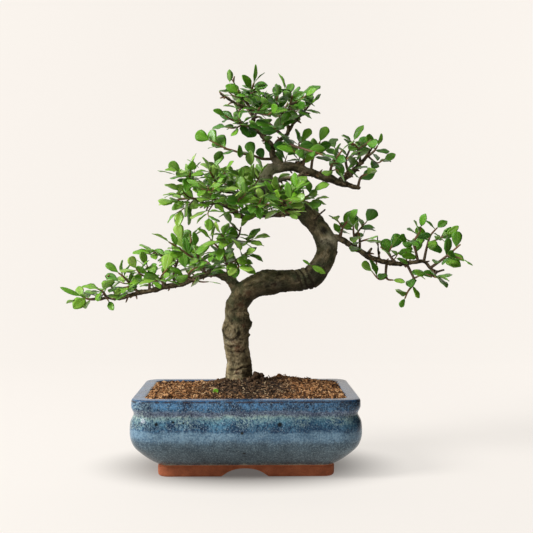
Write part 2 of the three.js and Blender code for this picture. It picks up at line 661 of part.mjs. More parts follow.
// Centre points of all the wood, close together, for roots and clearances
function woodPoints() {
  const points = [];
  for (const rows of [TRUNK, ...Object.values(BRANCHES)]) {
    const steps = 4;
    for (let span = 0; span + 1 < rows.length; span += 1) {
      for (let step = 0; step < steps; step += 1) {
        const blend = step / steps;
        const point = vectorOf(rows[span]).lerp(vectorOf(rows[span + 1]), blend);
        const radius = rows[span][3] * (1 - blend) + rows[span + 1][3] * blend;
        points.push({ point, radius });
      }
    }
    const end = rows[rows.length - 1];
    points.push({ point: vectorOf(end), radius: end[3] });
  }
  return points;
}

// Leafy twigs
function nearest(point, candidates) {
  let best = candidates[0];
  for (const candidate of candidates) {
    if (point.distanceTo(candidate) < point.distanceTo(best)) best = candidate;
  }
  return best;
}

function pathLength(path) {
  let length = 0;
  for (let i = 1; i < path.length; i += 1) length += path[i].distanceTo(path[i - 1]);
  return length;
}

// Place and direction at a fraction of a path's length
function pathPlace(path, fraction) {
  let left = pathLength(path) * fraction;
  for (let i = 1; i < path.length; i += 1) {
    const span = path[i].distanceTo(path[i - 1]);
    if (left <= span || i === path.length - 1) {
      const direction = path[i].clone().sub(path[i - 1]).normalize();
      return { point: path[i - 1].clone().addScaledVector(direction, left), direction };
    }
    left -= span;
  }
  return null;
}

function pathSamples(path, spacing) {
  const count = Math.max(1, Math.round(pathLength(path) / spacing));
  const samples = [];
  for (let i = 0; i <= count; i += 1) samples.push(pathPlace(path, i / count).point);
  return samples;
}

// The twigs with their roots moved onto what they grow from
function rootedTwigs(twigs, wood) {
  const woodCentres = wood.map((entry) => entry.point);
  const rooted = [];
  twigs.forEach((twig, order) => {
    const path = twig.path.map(vectorOf);
    const carriers = order === 0 ? woodCentres : pathSamples(rooted[0].path, 0.5);
    path[0] = nearest(path[0], carriers).clone();
    rooted.push({ ...twig, path, order });
  });
  return rooted;
}

// The way that faces out of the tree at a place, and the sideways direction of a twig there
function outOfTree(point) {
  const way = point.y < FACING.frontDepth ? -1 : 1;
  return new THREE.Vector3(point.x / FACING.sideReach, way, 0).normalize();
}

function upOfTwig(point, direction) {
  const steep = Math.abs(direction.z);
  return new THREE.Vector3(0, 0, 1 - steep).addScaledVector(outOfTree(point), steep).normalize();
}

// A leaf on a twig: alternate sides, tilted to the light and to the outside of the tree
function leafOn(twig, number, random) {
  const draws = Array.from({ length: 8 }, () => random() * 2 - 1);
  const last = number === twig.leaves - 1;
  const step = (number + 0.5 + HOLD.alongSpread * draws[0]) / (twig.leaves - 0.5);
  const fraction = last ? 1 : TWIG.bareShare + (HOLD.lastShare - TWIG.bareShare) * step;
  const { point, direction } = pathPlace(twig.path, fraction);
  if (last) point.addScaledVector(direction, -LEAF.endSink);
  const up = upOfTwig(point, direction);
  const lateral = direction.clone().cross(up).normalize();
  const side = number % 2 === 0 ? 1 : -1;
  const sideAngle = side * (HOLD.sideAngle + HOLD.sideSpread * draws[1]);
  const angle = last ? HOLD.endSpread * draws[1] : sideAngle;
  const axis = direction.clone().multiplyScalar(Math.cos(angle)).addScaledVector(lateral, Math.sin(angle));
  const lift = last ? HOLD.endLift * draws[2] : HOLD.lift + HOLD.liftSpread * draws[2];
  axis.addScaledVector(up, lift).normalize();
  const normal = new THREE.Vector3(0, 0, HOLD.light).addScaledVector(outOfTree(point), HOLD.outward);
  normal.add(new THREE.Vector3(draws[3], draws[4], draws[5]).multiplyScalar(HOLD.wander));
  normal.addScaledVector(axis, -normal.dot(axis)).normalize();
  const plainLength = LEAF.shortest + LEAF.lengthSpread * (draws[6] + 1) / 2;
  const length = last ? twig.tip : plainLength;
  const plainWidth = HOLD.width + HOLD.widthSpread * draws[7];
  const width = length * (last && length > HOLD.longLeaf ? HOLD.longWidth : plainWidth);
  return { base: point, axis, normal, length, width };
}

function leafPoint(leaf, along, across, over) {
  const lateral = leaf.normal.clone().cross(leaf.axis);
  const point = leaf.base.clone().addScaledVector(leaf.axis, along * leaf.length);
  point.addScaledVector(lateral, across * leaf.width / 2);
  return point.addScaledVector(leaf.normal, over - LEAF.droop * leaf.length * along * along);
}

function leafSamples(leaf) {
  const samples = [];
  for (const along of [0.25, 0.45, 0.65, 0.85, 1]) {
    for (const across of [-0.85, 0, 0.85]) samples.push(leafPoint(leaf, along, across, 0));
  }
  return samples;
}

// The blade, with both faces split alike
function leafSolid(leaf) {
  const half = LEAF.thickness / 2;
  const upper = LEAF.outline.map(([along, across]) => leafPoint(leaf, along, across, half));
  const lower = LEAF.outline.map(([along, across]) => leafPoint(leaf, along, across, -half));
  const count = LEAF.outline.length;
  const index = [];
  for (const [a, b, c] of LEAF.faces) {
    index.push(a, b, c);
    index.push(count + a, count + c, count + b);
  }
  for (let from = 0; from < count; from += 1) {
    const to = (from + 1) % count;
    index.push(from, count + from, count + to);
    index.push(from, count + to, to);
  }
  const positions = [...upper, ...lower].flatMap((point) => [point.x, point.y, point.z]);
  const geometry = new THREE.BufferGeometry();
  geometry.setAttribute('position', new THREE.Float32BufferAttribute(positions, 3));
  geometry.setIndex(index);
  return solidOf(geometry);
}

function twigSolid(twig) {
  const { path, order } = twig;
  const rootRadius = order === 0 ? TWIG.rootRadius : TWIG.sideRootRadius;
  const rings = path.map((centre, i) => {
    const before = path[Math.max(0, i - 1)];
    const after = path[Math.min(path.length - 1, i + 1)];
    const along = after.clone().sub(before).normalize();
    const across = along.clone().cross(upOfTwig(centre, along)).normalize();
    const over = along.clone().cross(across);
    const radius = rootRadius + (TWIG.tipRadius - rootRadius) * i / (path.length - 1);
    const ring = [];
    for (let side = 0; side < TWIG.sides; side += 1) {
      const angle = (side + 0.5) / TWIG.sides * 2 * Math.PI;
      const point = centre.clone().addScaledVector(across, radius * Math.cos(angle));
      ring.push(point.addScaledVector(over, radius * Math.sin(angle)));
    }
    return ring;
  });
  return solidOf(loft(rings));
}

function tooClose(samples, crowd, distance) {
  const limit = distance * distance;
  return samples.some((sample) => crowd.some((point) => sample.distanceToSquared(point) < limit));
}

// All leaves, placed spray after spray; a leaf that finds no free place is left out
function placeLeaves(sprays, wood) {
  const random = seeded(SEEDS.leaves);
  const placed = sprays.map(() => []);
  const blades = sprays.map(() => []);
  const twigPoints = sprays.map((twigs) => twigs.flatMap((twig) => pathSamples(twig.path, 2.5)));
  sprays.forEach((twigs, own) => {
    const otherTwigs = twigPoints.filter((_, spray) => spray !== own).flat();
    for (const twig of twigs) {
      for (let number = 0; number < twig.leaves; number += 1) {
        for (let attempt = 0; attempt < CLEAR.tries; attempt += 1) {
          const leaf = leafOn(twig, number, random);
          const samples = leafSamples(leaf);
          const hitsWood = samples.some((sample) => wood.some(({ point, radius }) => {
            return sample.distanceTo(point) < radius + CLEAR.wood;
          }));
          const others = blades.filter((_, spray) => spray !== own).flat();
          const crowded = hitsWood
            || tooClose(samples, otherTwigs, CLEAR.twig)
            || tooClose(samples, others, CLEAR.otherLeaf)
            || tooClose(samples, blades[own], CLEAR.ownLeaf);
          if (!crowded) {
            placed[own].push(leaf);
            blades[own].push(...samples);
            break;
          }
        }
      }
    }
  });
  return placed;
}

// Soil: fills the hollow and rises in a low rough mound round the trunk
function makeSoil(woodWithGap) {
  const random = seeded(SEEDS.soil);
  const rings = [];
  const floor = HOLLOW_PROFILE[0];
  rings.push(potRing(floor[0] + GAP, floor[1] + GAP, floor[2]));
  for (const [inset, height, corner] of HOLLOW_PROFILE.slice(1, -1)) {
    rings.push(potRing(inset + GAP, height, corner));
  }
  const centre = new THREE.Vector3(TRUNK[0][0], TRUNK[0][1], 0);
  const [mouthInset, , mouthCorner] = HOLLOW_PROFILE[HOLLOW_PROFILE.length - 1];
  const mouth = potRing(mouthInset + GAP, SOIL.wallHeight, mouthCorner);
  rings.push(mouth);
  for (const shrink of SOIL.ringShares) {
    const ring = mouth.map((point) => {
      const flat = new THREE.Vector3(point.x, point.y, 0).lerp(centre, 1 - shrink);
      const mound = SOIL.moundHeight * (1 - shrink ** SOIL.moundPower);
      const height = SOIL.wallHeight + mound + SOIL.roughness * (random() * 2 - 1);
      return new THREE.Vector3(flat.x, flat.y, height);
    });
    rings.push(ring);
  }
  let soil = solidOf(loft(rings)).subtract(woodWithGap);
  for (const x of drainCentres()) soil = soil.subtract(netBlock(x, GAP));
  return soil;
}

const wood = woodPoints();
const woodWithGap = makeWood(GAP);
const sprays = Object.values(SPRAYS).map((twigs) => rootedTwigs(twigs, wood));
const leaves = placeLeaves(sprays, wood);

function makeSpray(number) {
  const twigs = sprays[number].map(twigSolid);
  const blades = leaves[number].map(leafSolid);
  return largestBody(joined([...twigs, ...blades]).subtract(woodWithGap));
}

const tree = new THREE.Group();

function addPiece(name, solid, color, roughness) {
  const material = new THREE.MeshStandardMaterial({ color, roughness, metalness: 0 });
  const mesh = new THREE.Mesh(geometryOf(solid), material);
  mesh.name = name;
  tree.add(mesh);
  return mesh;
}

addPiece('pot', makePot(), COLOUR.glaze, 0.25);
drainCentres().forEach((x, i) => {
  addPiece(i === 0 ? 'drain_net_left' : 'drain_net_right', makeNet(x), COLOUR.net, 0.6);
});
addPiece('soil', makeSoil(woodWithGap), COLOUR.soil, 0.95);
addPiece('trunk_and_branches', largestBody(makeWood(0)), COLOUR.bark, 0.85);
Object.keys(SPRAYS).forEach((name, i) => {
  addPiece(name, makeSpray(i), COLOUR.leaf, 0.45);
});

// The origin is under the middle of the whole object's box
const box = new THREE.Box3().setFromObject(tree);
tree.position.set(-(box.min.x + box.max.x) / 2, -(box.min.y + box.max.y) / 2, -box.min.z);

const bonsai = new THREE.Group();
bonsai.add(tree);

export default bonsai;
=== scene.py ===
# %% [markdown]
# # A Chinese elm bonsai, dressed in Blender
#
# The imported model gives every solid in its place. This lesson keeps those places and builds
# finer pieces over them: a glazed pot, soil of coir chips, a tree with bark, and leaves that
# grow by one rule. Lengths are millimetres measured from under the middle of the pot, and one
# function turns them to metres in the model's own frame.

# %% Load the frame
import json
import math

import bmesh
import bpy
import numpy as np
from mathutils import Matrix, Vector, kdtree, noise

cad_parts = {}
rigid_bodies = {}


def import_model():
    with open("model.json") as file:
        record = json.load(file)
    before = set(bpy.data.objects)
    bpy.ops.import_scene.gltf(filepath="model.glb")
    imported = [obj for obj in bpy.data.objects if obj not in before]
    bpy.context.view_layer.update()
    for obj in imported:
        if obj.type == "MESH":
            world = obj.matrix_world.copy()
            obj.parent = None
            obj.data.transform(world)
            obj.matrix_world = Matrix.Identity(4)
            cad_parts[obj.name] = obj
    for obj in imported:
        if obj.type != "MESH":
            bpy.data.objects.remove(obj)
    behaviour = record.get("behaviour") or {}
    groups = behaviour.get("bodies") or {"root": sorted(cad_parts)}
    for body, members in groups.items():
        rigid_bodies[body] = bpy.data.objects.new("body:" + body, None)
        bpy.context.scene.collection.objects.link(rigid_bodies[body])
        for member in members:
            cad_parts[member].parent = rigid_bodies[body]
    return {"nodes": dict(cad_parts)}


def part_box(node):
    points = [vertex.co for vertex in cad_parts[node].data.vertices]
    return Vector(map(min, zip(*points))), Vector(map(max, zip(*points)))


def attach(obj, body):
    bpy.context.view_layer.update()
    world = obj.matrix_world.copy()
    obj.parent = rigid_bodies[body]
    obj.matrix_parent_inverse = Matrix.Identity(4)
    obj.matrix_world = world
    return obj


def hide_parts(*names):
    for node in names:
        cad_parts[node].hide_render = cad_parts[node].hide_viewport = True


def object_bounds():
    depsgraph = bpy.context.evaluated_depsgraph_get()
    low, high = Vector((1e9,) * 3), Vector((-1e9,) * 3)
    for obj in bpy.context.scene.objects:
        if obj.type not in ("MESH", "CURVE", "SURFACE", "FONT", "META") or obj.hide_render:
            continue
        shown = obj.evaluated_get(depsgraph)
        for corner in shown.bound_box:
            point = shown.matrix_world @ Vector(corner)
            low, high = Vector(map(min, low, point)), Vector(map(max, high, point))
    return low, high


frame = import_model()
cad_box = [list(corner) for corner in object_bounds()]
print("solids in the frame:", len(frame["nodes"]))

# %% [markdown]
# One unit and one origin serve every piece. The solids give the place of the pot, so nothing
# below has to know where the frame put it.

# %% Lengths and places
MM = 0.001
pot_low, pot_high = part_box("pot")
POT_CENTRE = np.array([(pot_low[0] + pot_high[0]) / 2, (pot_low[1] + pot_high[1]) / 2, 0.0])


def placed(points):
    """Millimetres from under the middle of the pot, as metres in the model's frame."""
    return np.asarray(points, float) * MM + POT_CENTRE


print("the pot stands at", (POT_CENTRE / MM).round(1), "mm")

# %% [markdown]
# Two helpers do most of the work. One adds a node to a tree, with its settings and with a value
# or a link for each input, so a material or a rule reads like a list of its nodes. The other
# makes a mesh object from points and faces. Its object stays at the origin, because patterns
# read object coordinates, and those must be the same for every piece.

# %% Helpers for nodes and meshes
def linear(hex_colour):
    """An sRGB colour such as "#607a55" as the linear values that Blender's sockets take."""
    parts = [int(hex_colour[i:i + 2], 16) / 255 for i in (1, 3, 5)]
    return tuple(c / 12.92 if c <= 0.04045 else ((c + 0.055) / 1.055) ** 2.4 for c in parts) + (1.0,)


def fill(made, values):
    """Fills sockets with plain values or hex colours, or links them to outputs of other nodes."""
    for key, value in values.items():
        socket = made.inputs[key]
        if isinstance(value, bpy.types.NodeSocket):
            made.id_data.links.new(value, socket)
        else:
            socket.default_value = linear(value) if socket.type == "RGBA" and isinstance(value, str) else value


def node(tree, kind, *values, out=None, stops=(), **settings):
    """Adds a node with its settings, and returns its first output in use, or the one named by out.

    Its kind may end in a colon and the operation. The values go into the sockets in use, in
    their order, or by name if they come as a dictionary. Stops are the places and hex colours
    of a colour ramp.
    """
    kind, _, operation = kind.partition(":")
    if operation:
        settings["operation"] = operation
    made = tree.nodes.new(kind if "Node" in kind else "ShaderNode" + kind)
    for setting, value in settings.items():
        setattr(made, setting, value)
    for number, (place, colour) in enumerate(stops):
        ramp = made.color_ramp.elements
        stop = ramp[number] if number < 2 else ramp.new(place)
        stop.position, stop.color = place, linear(colour)
    if values and isinstance(values[0], dict):
        values = values[0]
    else:
        values = dict(zip([number for number, socket in enumerate(made.inputs) if socket.enabled], values))
    fill(made, values)
    if out is not None:
        return made.outputs[out]
    return next((socket for socket in made.outputs if socket.enabled), None)


def material(name):
    """A new material, with its tree and its empty shader."""
    made = bpy.data.materials.new(name)
    made.use_nodes = True
    return made, made.node_tree, made.node_tree.nodes["Principled BSDF"]


def mesh_piece(name, points, faces, finish=None, smooth=True):
    """A mesh object at the origin, from points in metres and faces of point numbers."""
    mesh = bpy.data.meshes.new(name)
    mesh.from_pydata([tuple(point) for point in points], [], [tuple(face) for face in faces])
    mesh.validate()
    mesh.update()
    if finish:
        mesh.materials.append(finish)
    mesh.polygons.foreach_set("use_smooth", [smooth] * len(mesh.polygons))
    piece = bpy.data.objects.new(name, mesh)
    bpy.context.collection.objects.link(piece)
    return piece


def measured(piece):
    """Prints how many triangles a piece has."""
    piece.data.calc_loop_triangles()
    print(f"{piece.name}: {len(piece.data.loop_triangles)} triangles")


# %% [markdown]
# Patterns in the materials are drawn in millimetres from under the middle of the pot, so a spot
# that is two millimetres across on the real thing has the size 2 here.

# %% Helpers for patterns
def pot_millimetres(tree):
    """Object coordinates as millimetres from under the middle of the pot."""
    here = node(tree, "TexCoord", out="Object")
    scaled = node(tree, "VectorMath:MULTIPLY", here, (1 / MM,) * 3)
    return node(tree, "VectorMath:SUBTRACT", scaled, tuple(POT_CENTRE / MM))


def spots(tree, place, size, detail=3.0, stretch=(1, 1, 1), roughness=0.5):
    """Noise from 0 to 1 with spots of about this size in the place's own unit."""
    squeezed = node(tree, "VectorMath:MULTIPLY", place, stretch)
    return node(tree, "TexNoise", {"Vector": squeezed, "Scale": 1 / size, "Detail": detail,
                                   "Roughness": roughness})


def coated(tree, colour, coat, where, strength):
    """Lays a coat of another colour over the first, as strongly as the place where and strength say."""
    cover = node(tree, "Math:MULTIPLY", where, strength)
    return node(tree, "Mix", cover, colour, coat, data_type="RGBA")


# %% [markdown]
# A rule that repeats a shape is a Geometry Nodes tree, run once on a source mesh. The result is
# turned into a plain mesh, and the source with its modifier goes away, so nothing later depends
# on a live modifier.

# %% Helpers for rules
def rule(name, sizes):
    """A new node tree with a geometry input and the named inputs in sizes."""
    tree = bpy.data.node_groups.new(name, "GeometryNodeTree")
    tree.interface.new_socket("Geometry", in_out="INPUT", socket_type="NodeSocketGeometry")
    for label, kind in sizes.items():
        tree.interface.new_socket(label, in_out="INPUT", socket_type=f"NodeSocket{kind}")
    tree.interface.new_socket("Geometry", in_out="OUTPUT", socket_type="NodeSocketGeometry")
    return tree, tree.nodes.new("NodeGroupInput")


def grown(name, source, tree, values):
    """Runs a rule on a source object and keeps the result as a plain mesh piece."""
    modifier = source.modifiers.new(tree.name, "NODES")
    modifier.node_group = tree
    for item in tree.interface.items_tree:
        if item.in_out == "INPUT" and item.name in values:
            modifier[item.identifier] = values[item.name]
    return made_plain(name, source)


def made_plain(name, source):
    """The source with its modifiers applied, as a plain mesh piece. The source is removed."""
    depsgraph = bpy.context.evaluated_depsgraph_get()
    mesh = bpy.data.meshes.new_from_object(
        source.evaluated_get(depsgraph), preserve_all_data_layers=True, depsgraph=depsgraph)
    mesh.name = name
    piece = bpy.data.objects.new(name, mesh)
    bpy.context.collection.objects.link(piece)
    bpy.data.objects.remove(source)
    return piece


# %% [markdown]
# The camera stands in front of the tree, a little over a metre away, at the height of the lowest
# boughs, and looks almost level. Its focal length and aim are counted in pixels of the picture.

# %% Camera
# The picture's width and the focal length, both in pixels
FRAME_WIDTH = 533
FOCAL = 942
# Where the eye is, in millimetres, and the pixel that looks straight along +Y
EYE = (4, -1030, 228.7)
AXIS = (250, 255.6)

camera_data = bpy.data.cameras.new("camera")
camera_data.sensor_width = 36
camera_data.lens = FOCAL / FRAME_WIDTH * camera_data.sensor_width
camera_data.clip_start = 0.01
camera_data.clip_end = 50
camera = bpy.data.objects.new("camera", camera_data)
bpy.context.collection.objects.link(camera)
camera.location = placed(EYE)
aim = Vector((FRAME_WIDTH / 2 - AXIS[0], FOCAL, AXIS[1] - FRAME_WIDTH / 2))
camera.rotation_euler = aim.to_track_quat("-Z", "Y").to_euler()
bpy.context.scene.camera = camera
bpy.context.scene.view_settings.view_transform = "Standard"
print("lens", round(camera_data.lens, 1), "mm")

# %% [markdown]
# The floor is a pale sweep, bent up behind the pot so that no horizon shows. A black cloth out of
# view on the right keeps light off that side of the tree, so the trunk turns dark there.

# %% Floor
backdrop_paint, tree, shader = material("matt backdrop paint")
fill(shader, {"Roughness": 0.9, "Specular IOR Level": 0.1, "Base Color": "#827e7a",
              "Emission Color": "#faf5ef"})
# The glow stands for light thrown back by the studio's walls. It fades near the pot, a painted shadow under and round
# it
flattened = node(tree, "VectorMath:MULTIPLY", pot_millimetres(tree), (1 / 125, 1 / 92, 1 / 60))
away = node(tree, "VectorMath:LENGTH", flattened, out="Value")
glow_with_painted_shadow = node(tree, "MapRange", {"Value": away, "From Min": 0.55, "From Max": 1.5, "To Min": 0.12,
                                   "To Max": 0.725}, interpolation_type="SMOOTHSTEP")
# The cloth on the right takes light from that end of the sweep, so the sweep glows more there
right_end = node(tree, "MapRange", node(tree, "SeparateXYZ", pot_millimetres(tree), out="X"), 0, 900)
glow = node(tree, "Math:ADD", glow_with_painted_shadow, node(tree, "Math:MULTIPLY", right_end, 0.09))
fill(shader, {"Emission Strength": glow})

sweep_profile = [(-2600, 0), (-400, 0), (500, 0), (900, 0)]
sweep_profile += [(900 + 700 * math.sin(a), 700 - 700 * math.cos(a)) for a in np.linspace(0.1, math.pi / 2, 12)]
sweep_profile += [(1600, 3200)]
sweep_points = [(x, y, z) for y, z in sweep_profile for x in (-3500, 3500)]
sweep_faces = [(2 * i, 2 * i + 1, 2 * i + 3, 2 * i + 2) for i in range(len(sweep_profile) - 1)]
sweep = mesh_piece("studio_sweep", placed(sweep_points), sweep_faces, backdrop_paint)

flag_cloth, tree, shader = material("black flag cloth")
fill(shader, {"Base Color": "#141414", "Roughness": 1.0})
flag_points = [(x, y, z) for x in (560, 570) for y in (-900, 560) for z in (2, 1300)]
flag = mesh_piece("black_flag", placed(flag_points),
                  [(0, 1, 3, 2), (4, 6, 7, 5), (0, 4, 5, 1), (2, 3, 7, 6), (0, 2, 6, 4), (1, 5, 7, 3)], flag_cloth)
# It only keeps light away, so a look at the tree from that side goes past it
flag.visible_camera = False

# %% [markdown]
# A large soft light from the upper left models the trunk, a weak one overhead rounds it off, and
# a pale world fills the shadows.

# %% Light
world = bpy.data.worlds.new("studio")
world.use_nodes = True
world.node_tree.nodes["Background"].inputs["Color"].default_value = linear("#fff9f2")
world.node_tree.nodes["Background"].inputs["Strength"].default_value = 0.13
bpy.context.scene.world = world


def soft_light(name, place, target, size, power):
    """A square softbox at a place, turned to a target, all in millimetres."""
    data = bpy.data.lights.new(name, "AREA")
    data.shape = "SQUARE"
    data.size = size * MM
    data.energy = power
    light = bpy.data.objects.new(name, data)
    bpy.context.collection.objects.link(light)
    light.location = placed(place)
    aim_at = Vector(placed(target)) - light.location
    light.rotation_euler = aim_at.to_track_quat("-Z", "Y").to_euler()


soft_light("key_softbox", (-2300, -1150, 1900), (0, 0, 200), 1000, 108)
soft_light("top_softbox", (-200, -300, 2300), (0, 0, 200), 2000, 13)

# %% [markdown]
# ## The pot
#
# The pot is stoneware, pressed in a mould, dipped in a reactive glaze down to the foot and fired.
# Its plan is a rectangle with round corners, and every height has its own size and corner
# radius, so one list of heights lofts the whole shell: up the outside, over the lip, down into
# the hollow and round the foot underneath. Only the foot's arches and the drain holes are cut.

# %% Profile of the pot
POT_HALF = np.array([117.2, 84.0])
CORNER_STEPS = 14
SIDE_STEPS = (30, 44)
LIP_HEIGHT = 83
FOOT_TOP = 12

# Inset from the rim's size, height and corner radius, from the hollow under the pot to its floor
FOOT_ROWS = [(37, 11.4, 6), (36.4, 10.6, 6), (36, 1.2, 6), (35.2, 0, 6.5), (27.8, 0, 9.8), (26.4, 0.5, 11),
             (25.4, 1.8, 12), (25.2, 5.6, 12), (25.2, 9.8, 12), (25.6, 11.4, 12.5)]
BODY_ROWS = [(25, 12.2, 13.6), (20, 15.2, 17), (13.4, 20.3, 20), (6.4, 26.9, 23), (1, 33.6, 25),
             (-2, 42.4, 26), (-2.4, 51.5, 26), (-1.6, 58.5, 25), (0.3, 62.8, 22.5), (1.8, 66, 20), (1.8, 68.8, 18),
             (0.8, 71.8, 16.6), (0, 75, 16), (0, 80.6, 16)]
LIP_ROWS = [(0.35, 82, 16), (1.4, 82.8, 15.4), (3, LIP_HEIGHT, 14.6), (11, LIP_HEIGHT, 13.2), (12.7, 82.5, 12.6),
            (13.4, 81, 12), (13.2, 76, 12), (10.5, 70, 14), (6, 52, 18), (8, 36, 18), (18, 26, 15),
            (29, 20.5, 12)]


def spline(rows, steps):
    """A smooth line through rows of numbers, with this many steps from one row to the next."""
    rows = np.asarray(rows, float)
    ends = np.vstack([2 * rows[0] - rows[1], rows, 2 * rows[-1] - rows[-2]])
    t = np.arange(steps)[:, None] / steps
    spans = []
    for before, start, end, after in zip(ends, ends[1:], ends[2:], ends[3:]):
        leave, arrive = (end - before) / 2, (after - start) / 2
        spans.append((2 * t**3 - 3 * t**2 + 1) * start + (t**3 - 2 * t**2 + t) * leave
                     + (3 * t**2 - 2 * t**3) * end + (t**3 - t**2) * arrive)
    return np.vstack(spans + [rows[-1:]])


def pot_ring(inset, height, corner):
    """A rounded rectangle at one height, anticlockwise from the +X side's top end."""
    reach = POT_HALF - inset - corner
    points = []
    for quarter, signs in enumerate([(1, 1), (-1, 1), (-1, -1), (1, -1)]):
        angles = (quarter + np.linspace(0, 1, CORNER_STEPS + 1)) * math.pi / 2
        centre = reach * signs
        arc = np.stack([np.cos(angles), np.sin(angles)], 1) * corner + centre
        points += list(arc)
        after = reach * [(-1, 1), (-1, -1), (1, -1), (1, 1)][quarter]
        run = after - centre
        steps = SIDE_STEPS[1] if abs(run[0]) > abs(run[1]) else SIDE_STEPS[0]
        points += [arc[-1] + run * step / steps for step in range(1, steps)]
    return np.column_stack([np.array(points), np.full(len(points), height)])


def lofted(rings):
    """Points and faces of a closed shell between rings of equally many points."""
    count = len(rings[0])
    points = np.vstack(rings)
    faces = []
    for ring in range(len(rings) - 1):
        lower, upper = ring * count, (ring + 1) * count
        faces += [(lower + i, lower + (i + 1) % count, upper + (i + 1) % count, upper + i) for i in range(count)]
    first, last = len(points), len(points) + 1
    points = np.vstack([points, rings[0].mean(0), rings[-1].mean(0)])
    top = (len(rings) - 1) * count
    faces += [(first, (i + 1) % count, i) for i in range(count)]
    faces += [(last, top + i, top + (i + 1) % count) for i in range(count)]
    return points, faces


pot_rows = np.vstack([spline(FOOT_ROWS, 2), spline(BODY_ROWS, 4), spline(LIP_ROWS, 3)])
pot_points, pot_faces = lofted([pot_ring(*row) for row in pot_rows])
print("rings in the pot:", len(pot_rows))

# %% [markdown]
# A fired glaze is never flat: it gathers and runs. A slow noise moves the outside by a few
# tenths of a millimetre, which is enough to make the reflections waver.

# %% Shell of the pot
def slow_wave(point, reach):
    """A smooth value around 0 that changes over about this many millimetres."""
    return noise.noise(Vector(point) / reach)


for number, point in enumerate(pot_points):
    if point[2] > FOOT_TOP:
        outward = Vector((point[0] / POT_HALF[0], point[1] / POT_HALF[1], 0)).normalized()
        sway = 0.35 * slow_wave(point, 38) + 0.12 * slow_wave(point, 9)
        pot_points[number] = point + np.array(outward) * sway
pot_shell = mesh_piece("pot_shell", placed(pot_points), pot_faces)

ARCH_HALF_WIDTH = 24.8
ARCH_HEIGHT = 8.8
ARCH_PLACE = -1.2
DRAIN_RADIUS = 8
DRAIN_PLACES = (-48, 48)


def arch_outline():
    """Half width and height along the arch, from its right foot over the top to its left."""
    t = np.linspace(0, 1, 12)
    curve = lambda a, b, c, d: a * (1 - t)**3 + 3 * b * (1 - t)**2 * t + 3 * c * (1 - t) * t**2 + d * t**3
    across = curve(ARCH_HALF_WIDTH, 17.25, 11, 0)
    height = curve(0, 0.7 * ARCH_HEIGHT, ARCH_HEIGHT, ARCH_HEIGHT)
    right = list(zip(across, height))
    left = [(-x, z) for x, z in reversed(right[:-1])]
    outline = [(ARCH_HALF_WIDTH, -3)] + right + left + [(-ARCH_HALF_WIDTH, -3)]
    return [(x + ARCH_PLACE, z) for x, z in outline]


def prism(outline, low, high, along_y):
    """Points and faces of a straight bar with this outline."""
    rings = []
    for end in (low, high):
        rings.append(np.array([(a, end, b) if along_y else (a, b, end) for a, b in outline]))
    return lofted(rings)


cutters = [prism(arch_outline(), -70, 70, True)]
for x in DRAIN_PLACES:
    turns = np.linspace(0, 2 * math.pi, 33)[:-1]
    circle = [(x + DRAIN_RADIUS * math.cos(a), DRAIN_RADIUS * math.sin(a)) for a in turns]
    cutters.append(prism(circle, -1, 40, False))
for number, (points, faces) in enumerate(cutters):
    cutter = mesh_piece(f"cutter_{number}", placed(points), faces)
    sides = bmesh.new()
    sides.from_mesh(cutter.data)
    bmesh.ops.recalc_face_normals(sides, faces=sides.faces)
    sides.to_mesh(cutter.data)
    sides.free()
    cut = pot_shell.modifiers.new("cut", "BOOLEAN")
    cut.operation = "DIFFERENCE"
    cut.object = cutter
pot = made_plain("pot_glazed", pot_shell)
for number in range(len(cutters)):
    bpy.data.objects.remove(bpy.data.objects[f"cutter_{number}"])
measured(pot)

# %% [markdown]
# The glaze is a reactive stoneware glaze, an opaque glass. It pools below edges and breaks to a
# paler colour where it runs thin, so its colour follows the height on the pot: steel blue on
# the rim, violet grey in the groove, cream green and deep blue mottles on the shoulder, and a
# quiet blue grey below. Two ramps over the height give the dark and the light of every band,
# and spots of three sizes, from under two millimetres to a thumb's width, choose between them.

# %% Colours of the glaze, by the share of the height
GLAZE_DARK = [(0.15, "#6d7468"), (0.172, "#3b464c"), (0.24, "#3f4b53"), (0.36, "#404f58"), (0.47, "#3f5260"),
              (0.53, "#52718a"), (0.60, "#4f6f87"), (0.628, "#143050"), (0.70, "#13304e"), (0.75, "#244764"),
              (0.782, "#48626e"), (0.80, "#4b5766"), (0.815, "#353d52"), (0.855, "#3f4a64"), (0.875, "#12304f"),
              (0.955, "#0c233e"), (0.972, "#2c4058"), (0.986, "#1f3c58"), (1.0, "#1f4468")]
GLAZE_LIGHT = [(0.15, "#a3a592"), (0.172, "#566466"), (0.24, "#5a6a72"), (0.36, "#5a6c76"), (0.47, "#5a7180"),
               (0.53, "#7898ae"), (0.60, "#7e9fb5"), (0.628, "#447192"), (0.70, "#5689a4"), (0.75, "#76a0a8"),
               (0.782, "#9bb8b2"), (0.80, "#919fa4"), (0.815, "#5e6b84"), (0.855, "#71849f"), (0.875, "#467ca6"),
               (0.955, "#578dbb"), (0.972, "#5d84a6"), (0.986, "#4d7699"), (1.0, "#3d6e9c")]
# The pinholes that burst in the glaze of the front: place along X, height and radius
PINHOLES = [(-90.2, 59.4, 2.3), (-73.2, 61.4, 1.8), (34, 58.9, 3.0), (-4, 50.4, 2.0), (-2, 28.6, 2.0),
            (-63, 60.5, 1.4)]
# Heights on the pot: where the groove ends below, and the outer edge of the lip
GROOVE_FOOT = 62
LIP_EDGE = 81.0
# Where the flame scorched the glaze dark, and how far
BURN = ((116, -66, 61), 9)

# %% [markdown]
# The height picks the band, and a noise shifts it, so that the bands run into each other like
# glaze that flowed in the fire. Grains of 1.7, 5 and 18 mm add up to the mottle between the dark
# and the light ramp, with pale flecks where crystals grew.

